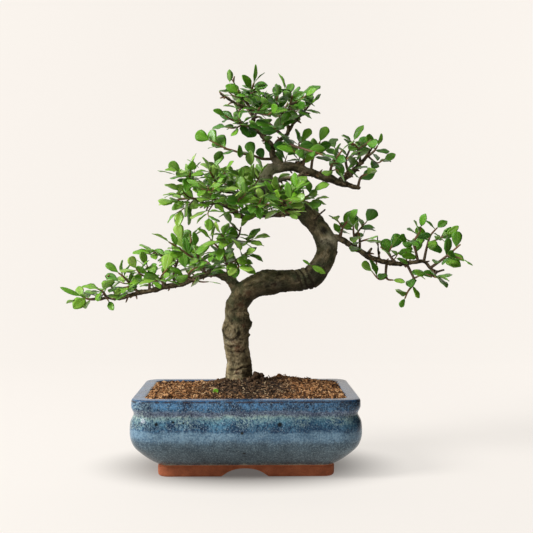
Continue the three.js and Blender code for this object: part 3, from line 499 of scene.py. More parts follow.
# %% Mottles of the glaze
glaze, tree, shader = material("reactive stoneware glaze")
place = pot_millimetres(tree)
height = node(tree, "SeparateXYZ", place, out="Z")
run_shift = node(tree, "Math:MULTIPLY", node(tree, "Math:SUBTRACT", spots(tree, place, 15, 2), 0.5), 0.09)
fine_shift = node(tree, "Math:MULTIPLY", node(tree, "Math:SUBTRACT", spots(tree, place, 2.6, 3), 0.5), 0.05)
level = node(tree, "Math:ADD", node(tree, "Math:DIVIDE", height, LIP_HEIGHT),
             node(tree, "Math:ADD", run_shift, fine_shift))
fine = spots(tree, place, 1.7, 3, (1, 1, 0.8), 0.7)
medium = spots(tree, place, 5, 3, (1, 1, 0.75), 0.6)
patches = spots(tree, place, 18, 2)
blend = node(tree, "Math:ADD", node(tree, "Math:MULTIPLY", fine, 0.45),
             node(tree, "Math:ADD", node(tree, "Math:MULTIPLY", medium, 0.25),
                  node(tree, "Math:MULTIPLY", patches, 0.3)))
mottle = node(tree, "MapRange", blend, 0.455, 0.59)
colour = node(tree, "Mix", mottle, node(tree, "ValToRGB", level, stops=GLAZE_DARK),
              node(tree, "ValToRGB", level, stops=GLAZE_LIGHT), data_type="RGBA")
below_lip = node(tree, "Math:SUBTRACT", 1.0,
                 node(tree, "Math:MULTIPLY", node(tree, "MapRange", height, 80.6, 81.6), 0.85))
upper = node(tree, "Math:MULTIPLY", node(tree, "MapRange", level, 0.62, 0.64), below_lip)
flecks = node(tree, "MapRange", spots(tree, place, 1.2, 2), 0.6, 0.7)
colour = coated(tree, colour, "#a9c3d2", node(tree, "Math:MULTIPLY", flecks, upper), 0.7)

# %% [markdown]
# Glaze breaks pale where it runs thin over an edge. On the sharp edge of the lip it runs off
# altogether, and the iron in the clay shows as a brown line. Undissolved grit speckles it all.

# %% Runs, worn edge and grit
# Where the glaze broke palest: in a few runs under the groove, most of them at the left end. The pale patch at the
# left end is partly a painted highlight of the light from the left
side = node(tree, "SeparateXYZ", place, out="X")
to_groove = node(tree, "Math:ABSOLUTE", node(tree, "Math:SUBTRACT", height, GROOVE_FOOT))
runs = node(tree, "Math:MULTIPLY", node(tree, "MapRange", spots(tree, place, 26, 2), 0.5, 0.62),
            node(tree, "MapRange", to_groove, 8, 3))
left_end = node(tree, "Math:MULTIPLY", node(tree, "MapRange", side, -88, -112), upper)
left_runs_and_painted_highlight = node(tree, "Math:MULTIPLY", left_end, node(tree, "MapRange", height, 46, 54))
runs = node(tree, "Math:MAXIMUM", runs, left_runs_and_painted_highlight)
speckle = node(tree, "MapRange", fine, 0.46, 0.6)
colour = coated(tree, colour, "#b9ccb9", node(tree, "Math:MULTIPLY", runs, speckle), 0.45)
# The lip's edge, where the glaze ran off and the iron in the clay shows through
to_edge = node(tree, "Math:ABSOLUTE", node(tree, "Math:SUBTRACT", height, LIP_EDGE))
edge_line = node(tree, "MapRange", to_edge, 1.1, 0.45)
worn_through = node(tree, "Math:MULTIPLY", edge_line, node(tree, "MapRange", spots(tree, place, 7, 3), 0.36, 0.5))
colour = coated(tree, colour, "#3b2c28", worn_through, 0.8)
grit = spots(tree, place, 1.5, 3, (1, 1, 1), 0.7)
pale_grit = node(tree, "Math:MULTIPLY", node(tree, "MapRange", grit, 0.52, 0.66), below_lip)
dark_grit = node(tree, "Math:MULTIPLY", node(tree, "MapRange", grit, 0.48, 0.34), below_lip)
colour = coated(tree, colour, "#9aaeb6", pale_grit, 0.36)
colour = coated(tree, colour, "#1f2b36", dark_grit, 0.5)

# %% [markdown]
# A kiln leaves its marks: a flame scorches a corner, and gas that breaks through the glaze leaves
# pinholes, each painted as a dark disc for the shade inside it. Painted shade darkens the right end,
# where the light from the left falls off. Each is a place with a reach, laid over the colours below.

# %% Painted shade, burn and pinholes
# Painted shade: the right end of the rim and of the shoulder are made darker, where the light from the left falls off
painted_shade_right_rim = node(tree, "Math:MULTIPLY", node(tree, "MapRange", side, 40, 105),
              node(tree, "MapRange", height, 72, 75))
colour = coated(tree, colour, "#101b26", painted_shade_right_rim, 0.5)
painted_shade_right_shoulder = node(tree, "Math:MULTIPLY", node(tree, "MapRange", side, -20, 70),
                       node(tree, "Math:MULTIPLY", node(tree, "MapRange", height, 40, 56),
                            node(tree, "MapRange", height, 70, 66)))
colour = coated(tree, colour, "#1f3a4e", painted_shade_right_shoulder, 0.42)
pits = node(tree, "MapRange", spots(tree, place, 1.4, 2, (1, 1, 0.6)), 0.62, 0.7)
colour = coated(tree, colour, "#182330", node(tree, "Math:MULTIPLY", pits, upper), 0.65)
burn = node(tree, "VectorMath:DISTANCE", place, BURN[0], out="Value")
burn = node(tree, "Math:ADD", burn, node(tree, "Math:MULTIPLY", medium, 12))
burnt = node(tree, "MapRange", burn, 2 * BURN[1], BURN[1])
colour = coated(tree, colour, "#26292b", burnt, 0.8)
skin_points = (np.array([vertex.co[:] for vertex in pot.data.vertices]) - POT_CENTRE) / MM
# Painted shade: each pinhole is a dark disc that stands for the shade inside the hole, which is not cut
for x, z, radius in PINHOLES:
    front = skin_points[np.abs(skin_points[:, 2] - z) < 1.5, 1].min()
    away = node(tree, "VectorMath:DISTANCE", place, (x, front, z), out="Value")
    inside = node(tree, "MapRange", away, radius, 0.55 * radius)
    colour = node(tree, "Mix", inside, colour, "#1b2024", data_type="RGBA")
fill(shader, {"Base Color": colour, "Roughness": 0.22, "IOR": 1.5, "Specular IOR Level": 0.22,
              "Coat Weight": 0.04, "Coat Roughness": 0.10,
              "Normal": node(tree, "Bump", {"Height": medium, "Distance": 0.0003})})
pot.data.materials.append(glaze)

# %% [markdown]
# The foot is bare fired clay, an iron-rich terracotta. Unglazed clay is rough and matt, with
# grog and small pits.

# %% Bare clay
clay, tree, shader = material("bare fired clay")
place = pot_millimetres(tree)
grain = spots(tree, place, 0.9, 4)
cloud = spots(tree, place, 12, 3)
colour = node(tree, "ValToRGB", node(tree, "MapRange", cloud, 0.3, 0.7),
              stops=[(0.0, "#96502f"), (0.5, "#ad5f3b"), (1.0, "#bd6d48")])
colour = coated(tree, colour, "#7a4128", node(tree, "MapRange", grain, 0.52, 0.7), 0.5)
fill(shader, {"Base Color": colour, "Roughness": 0.85,
              "Normal": node(tree, "Bump", {"Height": grain, "Distance": 0.0003})})
pot.data.materials.append(clay)
for face in pot.data.polygons:
    face.use_smooth = True
    face.material_index = 0 if face.center.z > (FOOT_TOP + 0.1) * MM else 1
pot.data.set_sharp_from_angle(angle=math.radians(50))
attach(pot, "root")
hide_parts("pot")

# %% [markdown]
# A square of black polyethylene net covers each drain hole, so that the soil stays in. The
# solids of the model already have its bars, so they only get the moulded plastic.

# %% Drain nets
net_plastic, tree, shader = material("moulded polyethylene")
dust = spots(tree, pot_millimetres(tree), 3, 3)
fill(shader, {"Base Color": node(tree, "ValToRGB", dust, stops=[(0.35, "#1b1c1a"), (0.7, "#2c2b27")]),
              "Roughness": 0.6})
for name in ("drain_net_left", "drain_net_right"):
    frame["nodes"][name].data.materials.clear()
    frame["nodes"][name].data.materials.append(net_plastic)

# %% [markdown]
# ## The soil
#
# The tree grows in coir chips and bark bits, reddish brown where they are dry and nearly black
# round the trunk. Under them lies one closed bed that fills the pot, with the same low mound as
# the solid. The chips are scattered on it by a rule: points spread over the bed's top, a chip
# of one of several shapes on each, turned at random and darker where the soil is damp.

# %% Bed of the soil
GAP = 0.3
WALL_HEIGHT = 81.8
MOUND_HEIGHT = 9.5
TRUNK_FOOT = np.array([-8.0, 15.0])
# Heaps of soil: against the trunk, and along the back wall. Place, reach and rise
HEAPS = [(-8, 12, 24, 5.0), (11, 10, 9, 3.0), (48, 46, 34, 3.2), (38, 58, 9, 2.5),
         (-60, 46, 44, -2.4), (88, 20, 20, 1.5)]


def soil_top(x, y, share):
    """Height of the bed where share is 0 at the trunk and 1 at the wall."""
    mound = MOUND_HEIGHT * (0.6 * (1 - share ** 2.2) + 0.4 * (1 - share) ** 3)
    for heap_x, heap_y, reach, rise in HEAPS:
        mound += rise * math.exp(-((x - heap_x) ** 2 + (y - heap_y) ** 2) / reach ** 2) * min(1, 12 * (1 - share))
    rough = 1.6 * noise.noise(Vector((x / 13, y / 13, 3))) + 0.9 * noise.noise(Vector((x / 5, y / 5, 9)))
    return WALL_HEIGHT - 0.4 + mound + rough * (1 if share < 0.99 else 0.4)


bed_rings = [pot_ring(inset + GAP, height, corner)
             for inset, height, corner in [(29, 20.8, 12), (18, 26.3, 15), (8, 36, 18), (6, 52, 18), (10.5, 70, 14),
                                           (13.4, 78, 12)]]
mouth = pot_ring(13.6 + GAP, 0, 12)
for share in [1, 0.97, 0.93] + list(np.linspace(0.88, 0.04, 26)):
    flat = TRUNK_FOOT + (mouth[:, :2] - TRUNK_FOOT) * share
    bed_rings.append(np.column_stack([flat, [soil_top(x, y, share) for x, y in flat]]))
bed_points, bed_faces = lofted(bed_rings)

soil_paint, tree, shader = material("damp coir chips")
place = pot_millimetres(tree)
offset = node(tree, "VectorMath:SUBTRACT", place, (0, -14, 88))
flat_offset = node(tree, "VectorMath:MULTIPLY", offset, (1, 0.75, 0))
away = node(tree, "VectorMath:LENGTH", flat_offset, out="Value")
wander = node(tree, "Math:MULTIPLY", node(tree, "Math:SUBTRACT", spots(tree, place, 22, 2), 0.5), 48)
dry = node(tree, "MapRange", node(tree, "Math:ADD", away, wander), 33, 63)
tone = node(tree, "Attribute", out="Fac", attribute_name="tone")
dark_chip = node(tree, "ValToRGB", tone,
                 stops=[(0.0, "#20160f"), (0.5, "#54402f"), (0.85, "#86674b"), (1.0, "#bfa684")])
dry_chip = node(tree, "ValToRGB", tone,
                stops=[(0.0, "#2e1a0c"), (0.3, "#77502f"), (0.7, "#c28b5a"), (1.0, "#e8bd8c")])
colour = node(tree, "Mix", dry, dark_chip, dry_chip, data_type="RGBA")
fibres = spots(tree, place, 0.8, 3)
colour = coated(tree, colour, "#2e1f15", node(tree, "MapRange", fibres, 0.5, 0.75), 0.45)
fill(shader, {"Base Color": colour, "Roughness": 0.95, "Specular IOR Level": 0.25,
              "Normal": node(tree, "Bump", {"Height": fibres, "Distance": 0.0004})})

bed = mesh_piece("soil_bed", placed(bed_points), bed_faces, soil_paint)
bed.data.attributes.new("tone", "FLOAT", "POINT").data.foreach_set("value", [0.08] * len(bed.data.vertices))
measured(bed)

# %% [markdown]
# A chip is a short bent splinter with a ragged end. Four shapes of it, from a crumb to a long
# fibre, are enough, because every one is turned and sized anew.

# %% Chip shapes
draw = np.random.default_rng(5)


def splinter(name, length, width, thickness, bend, steps):
    """A bent splinter of this size along X, in millimetres, with ragged sides."""
    rings = []
    for place in np.linspace(0, 1, steps + 1):
        taper = 0.35 + 0.65 * math.sin(math.pi * (0.12 + 0.76 * place))
        y, z = width / 2 * taper * draw.uniform(0.7, 1.15), thickness / 2 * taper * draw.uniform(0.7, 1.15)
        sag = -bend * (2 * place - 1) ** 2
        rings.append(np.array([[length * (place - 0.5), a * y, b * z + sag] for a, b in
                               [(1, 0.2), (0.2, 1), (-0.9, 0.5), (-0.6, -0.8), (0.5, -0.9)]]))
    points, faces = lofted(rings)
    made = mesh_piece(name, points * MM, faces, smooth=False)
    sides = bmesh.new()
    sides.from_mesh(made.data)
    bmesh.ops.recalc_face_normals(sides, faces=sides.faces)
    sides.to_mesh(made.data)
    sides.free()
    return made


chips = [splinter("chip_crumb", 2.8, 2.4, 2.0, 0.1, 2), splinter("chip_flake", 4.2, 2.9, 1.4, 0.4, 2),
         splinter("chip_sliver", 5.6, 1.7, 1.4, 0.7, 2), splinter("chip_fibre", 7.5, 0.8, 0.7, 1.6, 3)]

# %% [markdown]
# The rule that strews the chips keeps to the top of the bed. It picks one of the shapes for each
# point, turns and sizes it, and gives it a tone of its own, which the material reads.

# %% Scattering rule
scatter, given = rule("scatter chips", {"Density": "Float", "Seed": "Int", "Smallest": "Float", "Largest": "Float",
                                        "Finish": "Material"})
height = node(scatter, "SeparateXYZ", node(scatter, "GeometryNodeInputPosition"), out="Z")
top_side = node(scatter, "FunctionNodeCompare:GREATER_THAN", {0: height, 1: (WALL_HEIGHT - 2.5) * MM},
                data_type="FLOAT")
points_on_top = node(scatter, "GeometryNodeDistributePointsOnFaces",
                     {"Mesh": given.outputs["Geometry"], "Selection": top_side,
                      "Density": given.outputs["Density"], "Seed": given.outputs["Seed"]})
shapes = scatter.nodes.new("GeometryNodeJoinGeometry")
for chip in chips:
    shape = node(scatter, "GeometryNodeObjectInfo", {"Object": chip, "As Instance": True}, out="Geometry")
    scatter.links.new(shape, shapes.inputs[0])
turn = node(scatter, "FunctionNodeRandomValue", {0: (-1.0, -1.0, 0), 1: (1.0, 1.0, 2 * math.pi), "Seed": 3},
            data_type="FLOAT_VECTOR")
size = node(scatter, "FunctionNodeRandomValue",
            {2: given.outputs["Smallest"], 3: given.outputs["Largest"], "Seed": 4}, data_type="FLOAT")
laid = node(scatter, "GeometryNodeInstanceOnPoints",
            {"Points": points_on_top, "Instance": shapes.outputs[0], "Pick Instance": True,
             "Rotation": turn, "Scale": size})
shade = node(scatter, "FunctionNodeRandomValue", {2: 0.0, 3: 1.0, "Seed": 5}, data_type="FLOAT")
toned = node(scatter, "GeometryNodeStoreNamedAttribute", {"Geometry": laid, "Name": "tone", "Value": shade},
             data_type="FLOAT", domain="INSTANCE")
real = node(scatter, "GeometryNodeRealizeInstances", {"Geometry": toned})
painted = node(scatter, "GeometryNodeSetMaterial", {"Geometry": real, "Material": given.outputs["Finish"]})
node(scatter, "NodeGroupOutput", {"Geometry": painted})

loose_chips = grown("soil_chips", mesh_piece("soil_top", placed(bed_points), bed_faces), scatter,
                    {"Density": 185000.0, "Seed": 12, "Smallest": 0.5, "Largest": 1.1, "Finish": soil_paint})
bark_bits = grown("soil_bark_bits", mesh_piece("soil_top", placed(bed_points), bed_faces), scatter,
                  {"Density": 9000.0, "Seed": 21, "Smallest": 1.1, "Largest": 1.9, "Finish": soil_paint})
for chip in chips:
    bpy.data.objects.remove(chip)
measured(loose_chips)
measured(bark_bits)

# %% [markdown]
# Wet humus sticks together in clods. A few lie against the trunk, darker than the chips: balls
# pushed out of round by a noise.

# %% Clods
# Place on the ground and radius of each clod
CLODS = [(11, 9, 4.6), (16, 12, 3.6), (9, 2, 3.2), (18, 6, 2.6), (22, 13, 2.2), (4, -4, 2.6), (-25, 8, 2.2),
         (-20, -1, 2.2), (13, 0, 2.0), (27, 18, 2.4), (38, 58, 3.0), (45, 60, 2.0), (60, 62, 1.8)]
ground = bed_points[bed_points[:, 2] > WALL_HEIGHT - 3]
clod_points, clod_faces = [], []
for x, y, radius in CLODS:
    lying = ground[np.argmin(np.hypot(ground[:, 0] - x, ground[:, 1] - y)), 2] + 0.4 * radius
    ball = bmesh.new()
    bmesh.ops.create_icosphere(ball, subdivisions=3, radius=1)
    first = sum(len(made) for made in clod_points)
    shape = []
    for vertex in ball.verts:
        way = np.array(vertex.co)
        swell = 1 + 0.45 * noise.noise(Vector((way[0] * 1.3 + x, way[1] * 1.3 + y, way[2] * 1.3)))
        swell += 0.2 * noise.noise(Vector((way[0] * 4 + x, way[1] * 4, way[2] * 4 + y)))
        shape.append(way * radius * swell * (1, 1, 0.85) + (x, y, lying))
    clod_points.append(np.array(shape))
    clod_faces += [tuple(first + vertex.index for vertex in face.verts) for face in ball.faces]
    ball.free()
clods = mesh_piece("soil_clods", placed(np.vstack(clod_points)), clod_faces, soil_paint)
clods.data.attributes.new("tone", "FLOAT", "POINT").data.foreach_set("value", [0.4] * len(clods.data.vertices))
measured(clods)
for piece in (bed, loose_chips, bark_bits, clods):
    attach(piece, "root")
    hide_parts("soil")

# %% [markdown]
# ## The wood
#
# Trunk and boughs are one living piece of wood. Each limb follows a row of centre points with
# the limb's radius at each, from the roots to the tip. The same points shape the solid, so the
# finer wood fills the same space.

# %% Limbs, as centre points with the radius there: (x, y, z, radius)
TRUNK = [
    (-8, 15, 66, 14), (-8, 15, 84, 15.4), (-9, 15, 99, 14.2), (-9, 15, 112, 13.4),
    (-11, 14, 126, 13), (-12, 14, 139, 14.2), (-12, 13, 149, 14.4), (-10, 12, 158, 13.2),
    (-11, 11, 168, 11.8), (-7, 10, 179, 12.2), (1, 9, 190, 13.2), (15, 7, 197, 13.4),
    (36, 6, 200, 13.2), (57, 7, 202, 12.2), (73, 9, 207, 12.4), (84, 11, 220, 11.3),
    (89, 14, 235, 10.7), (86, 17, 249, 11), (78, 20, 263, 10.8), (67, 22, 275, 10.4),
    (53, 22, 285, 9.4), (39, 20, 292, 8.8), (26, 17, 301, 8.4), (21, 14, 312, 8.3),
    (24, 12, 322, 7), (32, 11, 326, 5.6),
]
BRANCHES = {
    "crown_right": [
        (24, 12, 322, 5.6), (34, 11, 325, 5.5), (46, 9, 327, 5.2), (59, 8, 324, 5.2),
        (71, 8, 320, 4.8), (81, 9, 317, 4.6), (91, 10, 314, 4.8), (103, 11, 309, 3.9),
        (115, 12, 306, 3), (126, 13, 303, 2.1),
    ],
    "crown_right_rise": [
        (101, 11, 310, 3.4), (107, 13, 313, 3.6), (114, 16, 319, 3.5), (121, 17, 324, 3),
        (127, 18, 332, 2.4), (133, 19, 338, 1.9), (140, 20, 349, 1.3),
    ],
    "crown_brace": [(24, 8, 308, 3), (40, 1, 312, 2.4), (54, -2, 314, 2.1), (67, 5, 319, 2.4)],
    "crown_back": [(48, 9, 326, 3.2), (58, 24, 331, 2.7), (67, 38, 336, 2.2), (76, 50, 343, 1.5)],
    "apex": [
        (31, 12, 325, 4.4), (38, 12, 328, 4.2), (33, 12, 334, 4), (29, 11, 340, 3.7),
        (26, 9, 352, 3.5), (16, 8, 363, 3), (7, 8, 370, 2.7), (8, 10, 381, 2.3), (5, 12, 390, 2),
        (-2, 12, 401, 1.5), (-10, 9, 413, 1.1), (-17, 9, 424, 0.8),
    ],
    "apex_fork": [
        (29, 11, 345, 2.6), (35, 13, 354, 2.4), (42, 15, 360, 2.3), (47, 16, 367, 2.2),
        (45, 16, 376, 2), (39, 15, 387, 1.5),
    ],
    "apex_fork_right": [(47, 16, 366, 1.9), (52, 19, 375, 1.7), (61, 22, 385, 1.4)],
    "apex_stub": [(4, 12, 391, 1.7), (-7, 8, 394, 1.6), (-14, 6, 397, 1.6), (-28, 3, 406, 1.5)],
    "left": [
        (-9, 8, 190, 6.5), (-17, 6, 202, 5.6), (-25, 4, 206, 4.4), (-34, 2, 209, 4),
        (-45, 0, 208, 3.8), (-56, -1, 204, 3.7), (-66, -2, 200, 3.6), (-78, -2, 197, 3.4),
        (-89, -1, 195, 3), (-106, 2, 190, 2.8), (-118, 4, 188, 2.5), (-138, 6, 182, 2.1),
        (-153, 7, 182, 1.7), (-166, 7, 181, 1.3),
    ],
    "left_rise": [
        (-17, 6, 202, 3.8), (-19, 9, 212, 3.1), (-18, 11, 221, 2.6), (-20, 13, 232, 2.1),
        (-20, 14, 241, 1.6),
    ],
    "left_back": [
        (-22, 5, 205, 3.4), (-30, 18, 211, 2.8), (-43, 31, 214, 2.3), (-57, 42, 216, 1.8),
        (-69, 50, 221, 1.3),
    ],
    "left_bare": [(-142, 6, 182, 1.4), (-146, 3, 192, 1.2), (-154, 1, 207, 0.9)],
    "right": [
        (86, 16, 245, 4.4), (93, 16, 249, 3.9), (104, 14, 248, 3.4), (119, 12, 238, 3.3),
        (132, 10, 230, 3.2), (144, 9, 224, 3.1), (159, 9, 221, 2.9), (170, 10, 220, 2.7),
        (184, 12, 221, 2.4), (197, 13, 222, 2.1), (204, 12, 215, 1.7), (211, 11, 211, 1.5),
        (219, 10, 213, 1.3),
    ],
    "right_bare": [(147, 8, 223, 1.4), (145, 6, 240, 1.1), (144, 4, 250, 0.8)],
    "right_stub": [(132, 8, 230, 1.8), (134, 1, 232, 1.7), (137, -2, 237, 1.5)],
    "centre": [
        (60, 22, 280, 5.2), (46, 14, 276, 4.2), (29, 6, 274, 3.7), (13, -1, 274, 3.3),
        (1, -5, 270, 2.9), (-9, -8, 273, 2.6), (-20, -9, 281, 2.3), (-31, -8, 285, 2),
        (-45, -6, 285, 1.8), (-59, -4, 283, 1.4),
    ],
    "centre_high": [
        (36, 20, 293, 4.4), (22, 13, 292, 3.6), (6, 8, 294, 3.1), (-9, 5, 297, 2.7),
        (-25, 3, 300, 2.3), (-39, 2, 303, 1.9), (-54, 3, 307, 1.4),
    ],
    "centre_back": [
        (43, 22, 289, 4.6), (33, 36, 294, 3.6), (20, 48, 301, 2.9), (4, 57, 306, 2.3),
        (-10, 64, 309, 1.6),
    ],
    "centre_front": [(17, -1, 273, 3), (23, -14, 274, 2.6), (33, -27, 274, 2.2), (42, -38, 273, 1.6)],
    "trunk_twig": [(74, 14, 267, 1.8), (79, 4, 273, 1.3), (86, -4, 279, 1)],
}
# Healed wounds and knobs on the trunk: x, y, z, how far they reach and how far they stand out
KNOBS = [
    (-26, 6, 148, 7, 2.2), (-18, 0, 146, 8, 1.6), (3, 11, 153, 3.5, 3.0), (1, 10, 164, 2.4, 1.8),
    (2, 9, 141, 2, 1.2), (28, 2, 188, 6, 1.4), (78, 2, 212, 7, 1.3), (98, 12, 243, 6, 1.6),
    (-20, 10, 178, 6, 1.8), (20, 6, 211, 10, 2.6),
]

# %% [markdown]
# Every limb is first a tube of rings. Where limbs meet, a voxel remesh melts the tubes into one
# skin with soft collars, as wood grows round the root of a branch. Modelling those collars by
# hand would take long, and a plain join would leave the tubes running through each other.

# %% Tubes
LIMB_STEP = 1.5
# Without a seed the noise that kinks the branches would start from the clock
noise.seed_set(7)


def limb_line(rows):
    """Centres, radii and lengths along a limb, about LIMB_STEP millimetres apart."""
    rows = np.asarray(rows, float)
    line = spline(rows[:, :3], 24)
    radii = np.interp(np.arange(len(line)) / 24, range(len(rows)), rows[:, 3])
    kinks = np.array([noise.noise_vector(Vector(place) / 7)[:] for place in line])
    line = line + kinks * np.clip(0.3 * radii, 0, 1.1)[:, None] * (radii < 7)[:, None]
    lengths = np.concatenate([[0], np.cumsum(np.linalg.norm(np.diff(line, axis=0), axis=1))])
    places = np.linspace(0, lengths[-1], max(3, round(lengths[-1] / LIMB_STEP)))
    centres = np.stack([np.interp(places, lengths, line[:, i]) for i in range(3)], 1)
    return centres, np.interp(places, lengths, radii), places


def limb_frames(centres):
    """Two directions across the limb at each centre, turned as little as possible."""
    along = np.gradient(centres, axis=0)
    along /= np.linalg.norm(along, axis=1, keepdims=True)
    across = np.array([0.0, -1.0, 0.0])
    frames = []
    for direction in along:
        across = across - direction * (across @ direction)
        across = across / np.linalg.norm(across)
        frames.append((across, np.cross(direction, across)))
    return along, np.array(frames)


def limb_tube(rows, sides, lumps, knobs=()):
    """Points and faces of one limb, with slow lumps in its radius and knobs that stand out."""
    centres, radii, places = limb_line(rows)
    along, frames = limb_frames(centres)
    rings = []
    for centre, radius, (across, over), place in zip(centres, radii, frames, places):
        ring = []
        for angle in np.linspace(0, 2 * math.pi, sides + 1)[:-1]:
            outward = across * math.cos(angle) + over * math.sin(angle)
            swell = 1 + lumps * noise.noise(Vector(centre + outward * radius) / (2.2 * radius + 4))
            point = centre + outward * radius * swell
            for x, y, z, reach, rise in knobs:
                away = np.linalg.norm(point - (x, y, z))
                if away < 2.5 * reach:
                    swollen = math.exp(-(away / reach) ** 2) * (1 + 0.22 * math.cos(2.4 * away))
                    point = point + outward * rise * swollen
            ring.append(point)
        rings.append(np.array(ring))
    tip = centres[-1] + along[-1] * radii[-1] * 0.5
    rings.append(tip + (rings[-1] - centres[-1]) * 0.6)
    return lofted(rings)

# %% [markdown]
# All tubes go into one mesh before they melt together. The voxels are a little under a
# millimetre, which keeps the thinnest branch round and the mesh light enough.

# %% One skin for all limbs
limb_points, limb_faces = [], []
for name, rows in [("trunk", TRUNK)] + list(BRANCHES.items()):
    main = name == "trunk"
    points, faces = limb_tube(rows, 36 if main else 16, 0.16 if main else 0.22, KNOBS if main else ())
    first = sum(len(made) for made in limb_points)
    limb_points.append(points)
    limb_faces += [tuple(first + corner for corner in face) for face in faces]
rough_wood = mesh_piece("rough_wood", placed(np.vstack(limb_points)), limb_faces)
melt = rough_wood.modifiers.new("melt", "REMESH")
melt.mode = "VOXEL"
melt.voxel_size = 0.95 * MM
melt.use_smooth_shade = True
wood = made_plain("elm_wood", rough_wood)
measured(wood)

# %% [markdown]
# The bark is worked into the mesh, not only painted. Every point of the skin finds the nearest
# centre of a limb, which gives its place along the limb and round it. Patterns drawn in those
# two run with the limb through every bend. They are kept as an attribute, and the material
# reads the same one.

# %% Marks on the bark
# Wrinkles that run part of the way round the trunk: height, depth, slope to the right, and the
# side they are deepest on, as an angle from +X
CREASES = [(129, 1.1, -0.10, -2.0), (124, 0.9, 0.12, -1.6), (119, 0.5, -0.05, -2.4), (104.5, 1.3, 0.22, -1.2),
           (99, 0.8, 0.05, -1.9), (137, 0.6, 0.15, -1.0), (170, 0.5, 0.25, -1.8)]
# The healed wound on the left: its middle, and how far its rings reach
WOUND = (np.array([-18, -1, 146.5]), 12.0)
# Folds across the bough inside its sharpest bend: place along X, and depth
BEND_FOLDS = [(57, 0.9), (63, 1.2), (69, 1.3)]
# Crusts of dead bark that stand out, with their reach and height
CRUSTS = [((1, 7, 167), 2.4, 2.0), ((3.5, 8, 154), 2.8, 2.4), ((2.5, 7, 148), 2.0, 1.8), ((2.5, 8, 140), 2.2, 1.8),
          ((0.5, 4, 161), 1.8, 1.4), ((4, 8, 133), 1.6, 1.0), ((-24, 4, 155), 2.5, 1.2), ((100, 10, 232), 2.5, 1.0),
          ((99, 9, 221), 2.2, 1.0), ((44, 2, 189), 2.2, 1.0), ((30, 0, 186), 2.0, 1.2), ((58, 2, 191), 2.0, 1.0)]
# Painted shade: places under the bends of the trunk and in the hollows by its scars, painted dark, with their reach
PAINTED_SHADE_PLACES = [((77, -2, 206), 9), ((80, 3, 256), 2.8), ((2, 4, 158), 6), ((3, 3, 148), 5), ((70, 2, 196), 7),
          ((40, 0, 189), 8), ((2, 6, 176), 6)]
# The largest scar, a weathered slate grey, where a thick bough was sawn off
SAWN_FACE = (86, 3, 259)
# Hollow scars where boughs were sawn off, with their reach and depth
SCARS = [(SAWN_FACE, 7.5, 1.2), ((4, 6, 153), 2.6, 1.5), ((3, 6, 164), 1.8, 1.0),
         ((66, 10, 266), 3, 0.8)]
# Places where the young inner bark shows brick red, with their reach
BLUSHES = [((-14, -2, 131), 7), ((-8, 0, 127), 7), ((-6, -3, 165), 5), ((-5, -3, 175), 6), ((2, -5, 187), 6),
           ((-2, 1, 152), 4), ((-10, 0, 101), 5), ((30, -8, 196), 5)]

# Old grey wood that bleached: the trunk's cut head, and the collar round the right bough. It is painted paler than
# the wood itself, partly as painted light where the leaves shade it
PALE_AND_LIT_WOOD = [((20, 5, 318), 14), ((13, 4, 309), 9), ((95, 4, 248), 8), ((84, 2, 246), 5), ((100, 4, 252), 6)]

# %% [markdown]
# Here every point of the skin looks up the nearest limb. Its two distances across the limb and
# its length along it become the grain, the coordinates that all bark patterns use.

# %% Place along the nearest limb
limb_centres, limb_marks = [], []
for number, rows in enumerate([TRUNK] + list(BRANCHES.values())):
    centres, radii, places = limb_line(rows)
    along, frames = limb_frames(centres)
    for i in range(len(centres)):
        limb_centres.append(centres[i])
        limb_marks.append((radii[i], places[i] + 700 * number, frames[i][0], frames[i][1]))
limb_tree = kdtree.KDTree(len(limb_centres))
for number, centre in enumerate(limb_centres):
    limb_tree.insert(centre, number)
limb_tree.balance()

skin = np.empty(len(wood.data.vertices) * 3)
wood.data.vertices.foreach_get("co", skin)
skin = (skin.reshape(-1, 3) - POT_CENTRE) / MM
normals = np.array([vertex.normal[:] for vertex in wood.data.vertices])
grain = np.empty_like(skin)
thickness = np.empty(len(skin))
for number, point in enumerate(skin):
    near = limb_tree.find_n(point, 14)
    nearest = min(near, key=lambda found: found[2] - limb_marks[found[1]][0])[1]
    radius, length, across, over = limb_marks[nearest]
    offset = point - limb_centres[nearest]
    grain[number] = (offset @ across, offset @ over, length)
    thickness[number] = radius

# %% [markdown]
# Scars sink in with a raised rim, as a wound closes from its edge. Crusts stand out, and are
# dark. Each kind of mark leaves a value at every point, which tells the material where shade is
# painted, where the wood is pale and painted lighter still, and where it is red.

# %% Scars and crusts
def nearness(points, middle, reach):
    """From 0 to 1, how near the points are to a middle, against its reach."""
    return np.exp(-(np.linalg.norm(points - np.array(middle), axis=1) / reach) ** 2)


relief = np.zeros(len(skin))
blush, pale_wood_and_painted_light, dark_crusts_and_painted_shade = [np.max([nearness(skin, middle, reach) for middle, reach in marks], axis=0)
                        for marks in (BLUSHES, PALE_AND_LIT_WOOD, PAINTED_SHADE_PLACES)]
for middle, reach, rise in CRUSTS:
    crust = nearness(skin, middle, reach)
    for number in np.flatnonzero(crust > 0.05):
        relief[number] += crust[number] * rise * (1 + 0.8 * noise.noise(Vector(skin[number]) / 1.5))
    dark_crusts_and_painted_shade = np.maximum(dark_crusts_and_painted_shade, crust)
for middle, reach, depth in SCARS:
    away = np.linalg.norm(skin - np.array(middle), axis=1)
    relief += depth * (0.5 * np.exp(-((away - 1.3 * reach) / 1.5) ** 2) - np.exp(-(away / reach) ** 2))

# %% [markdown]
# The rest of the relief follows the age of the wood. Old bark has plates, ridges and lumps, thin
# branches are knotty, and the trunk has creases, rings round its wound, and a flared foot.

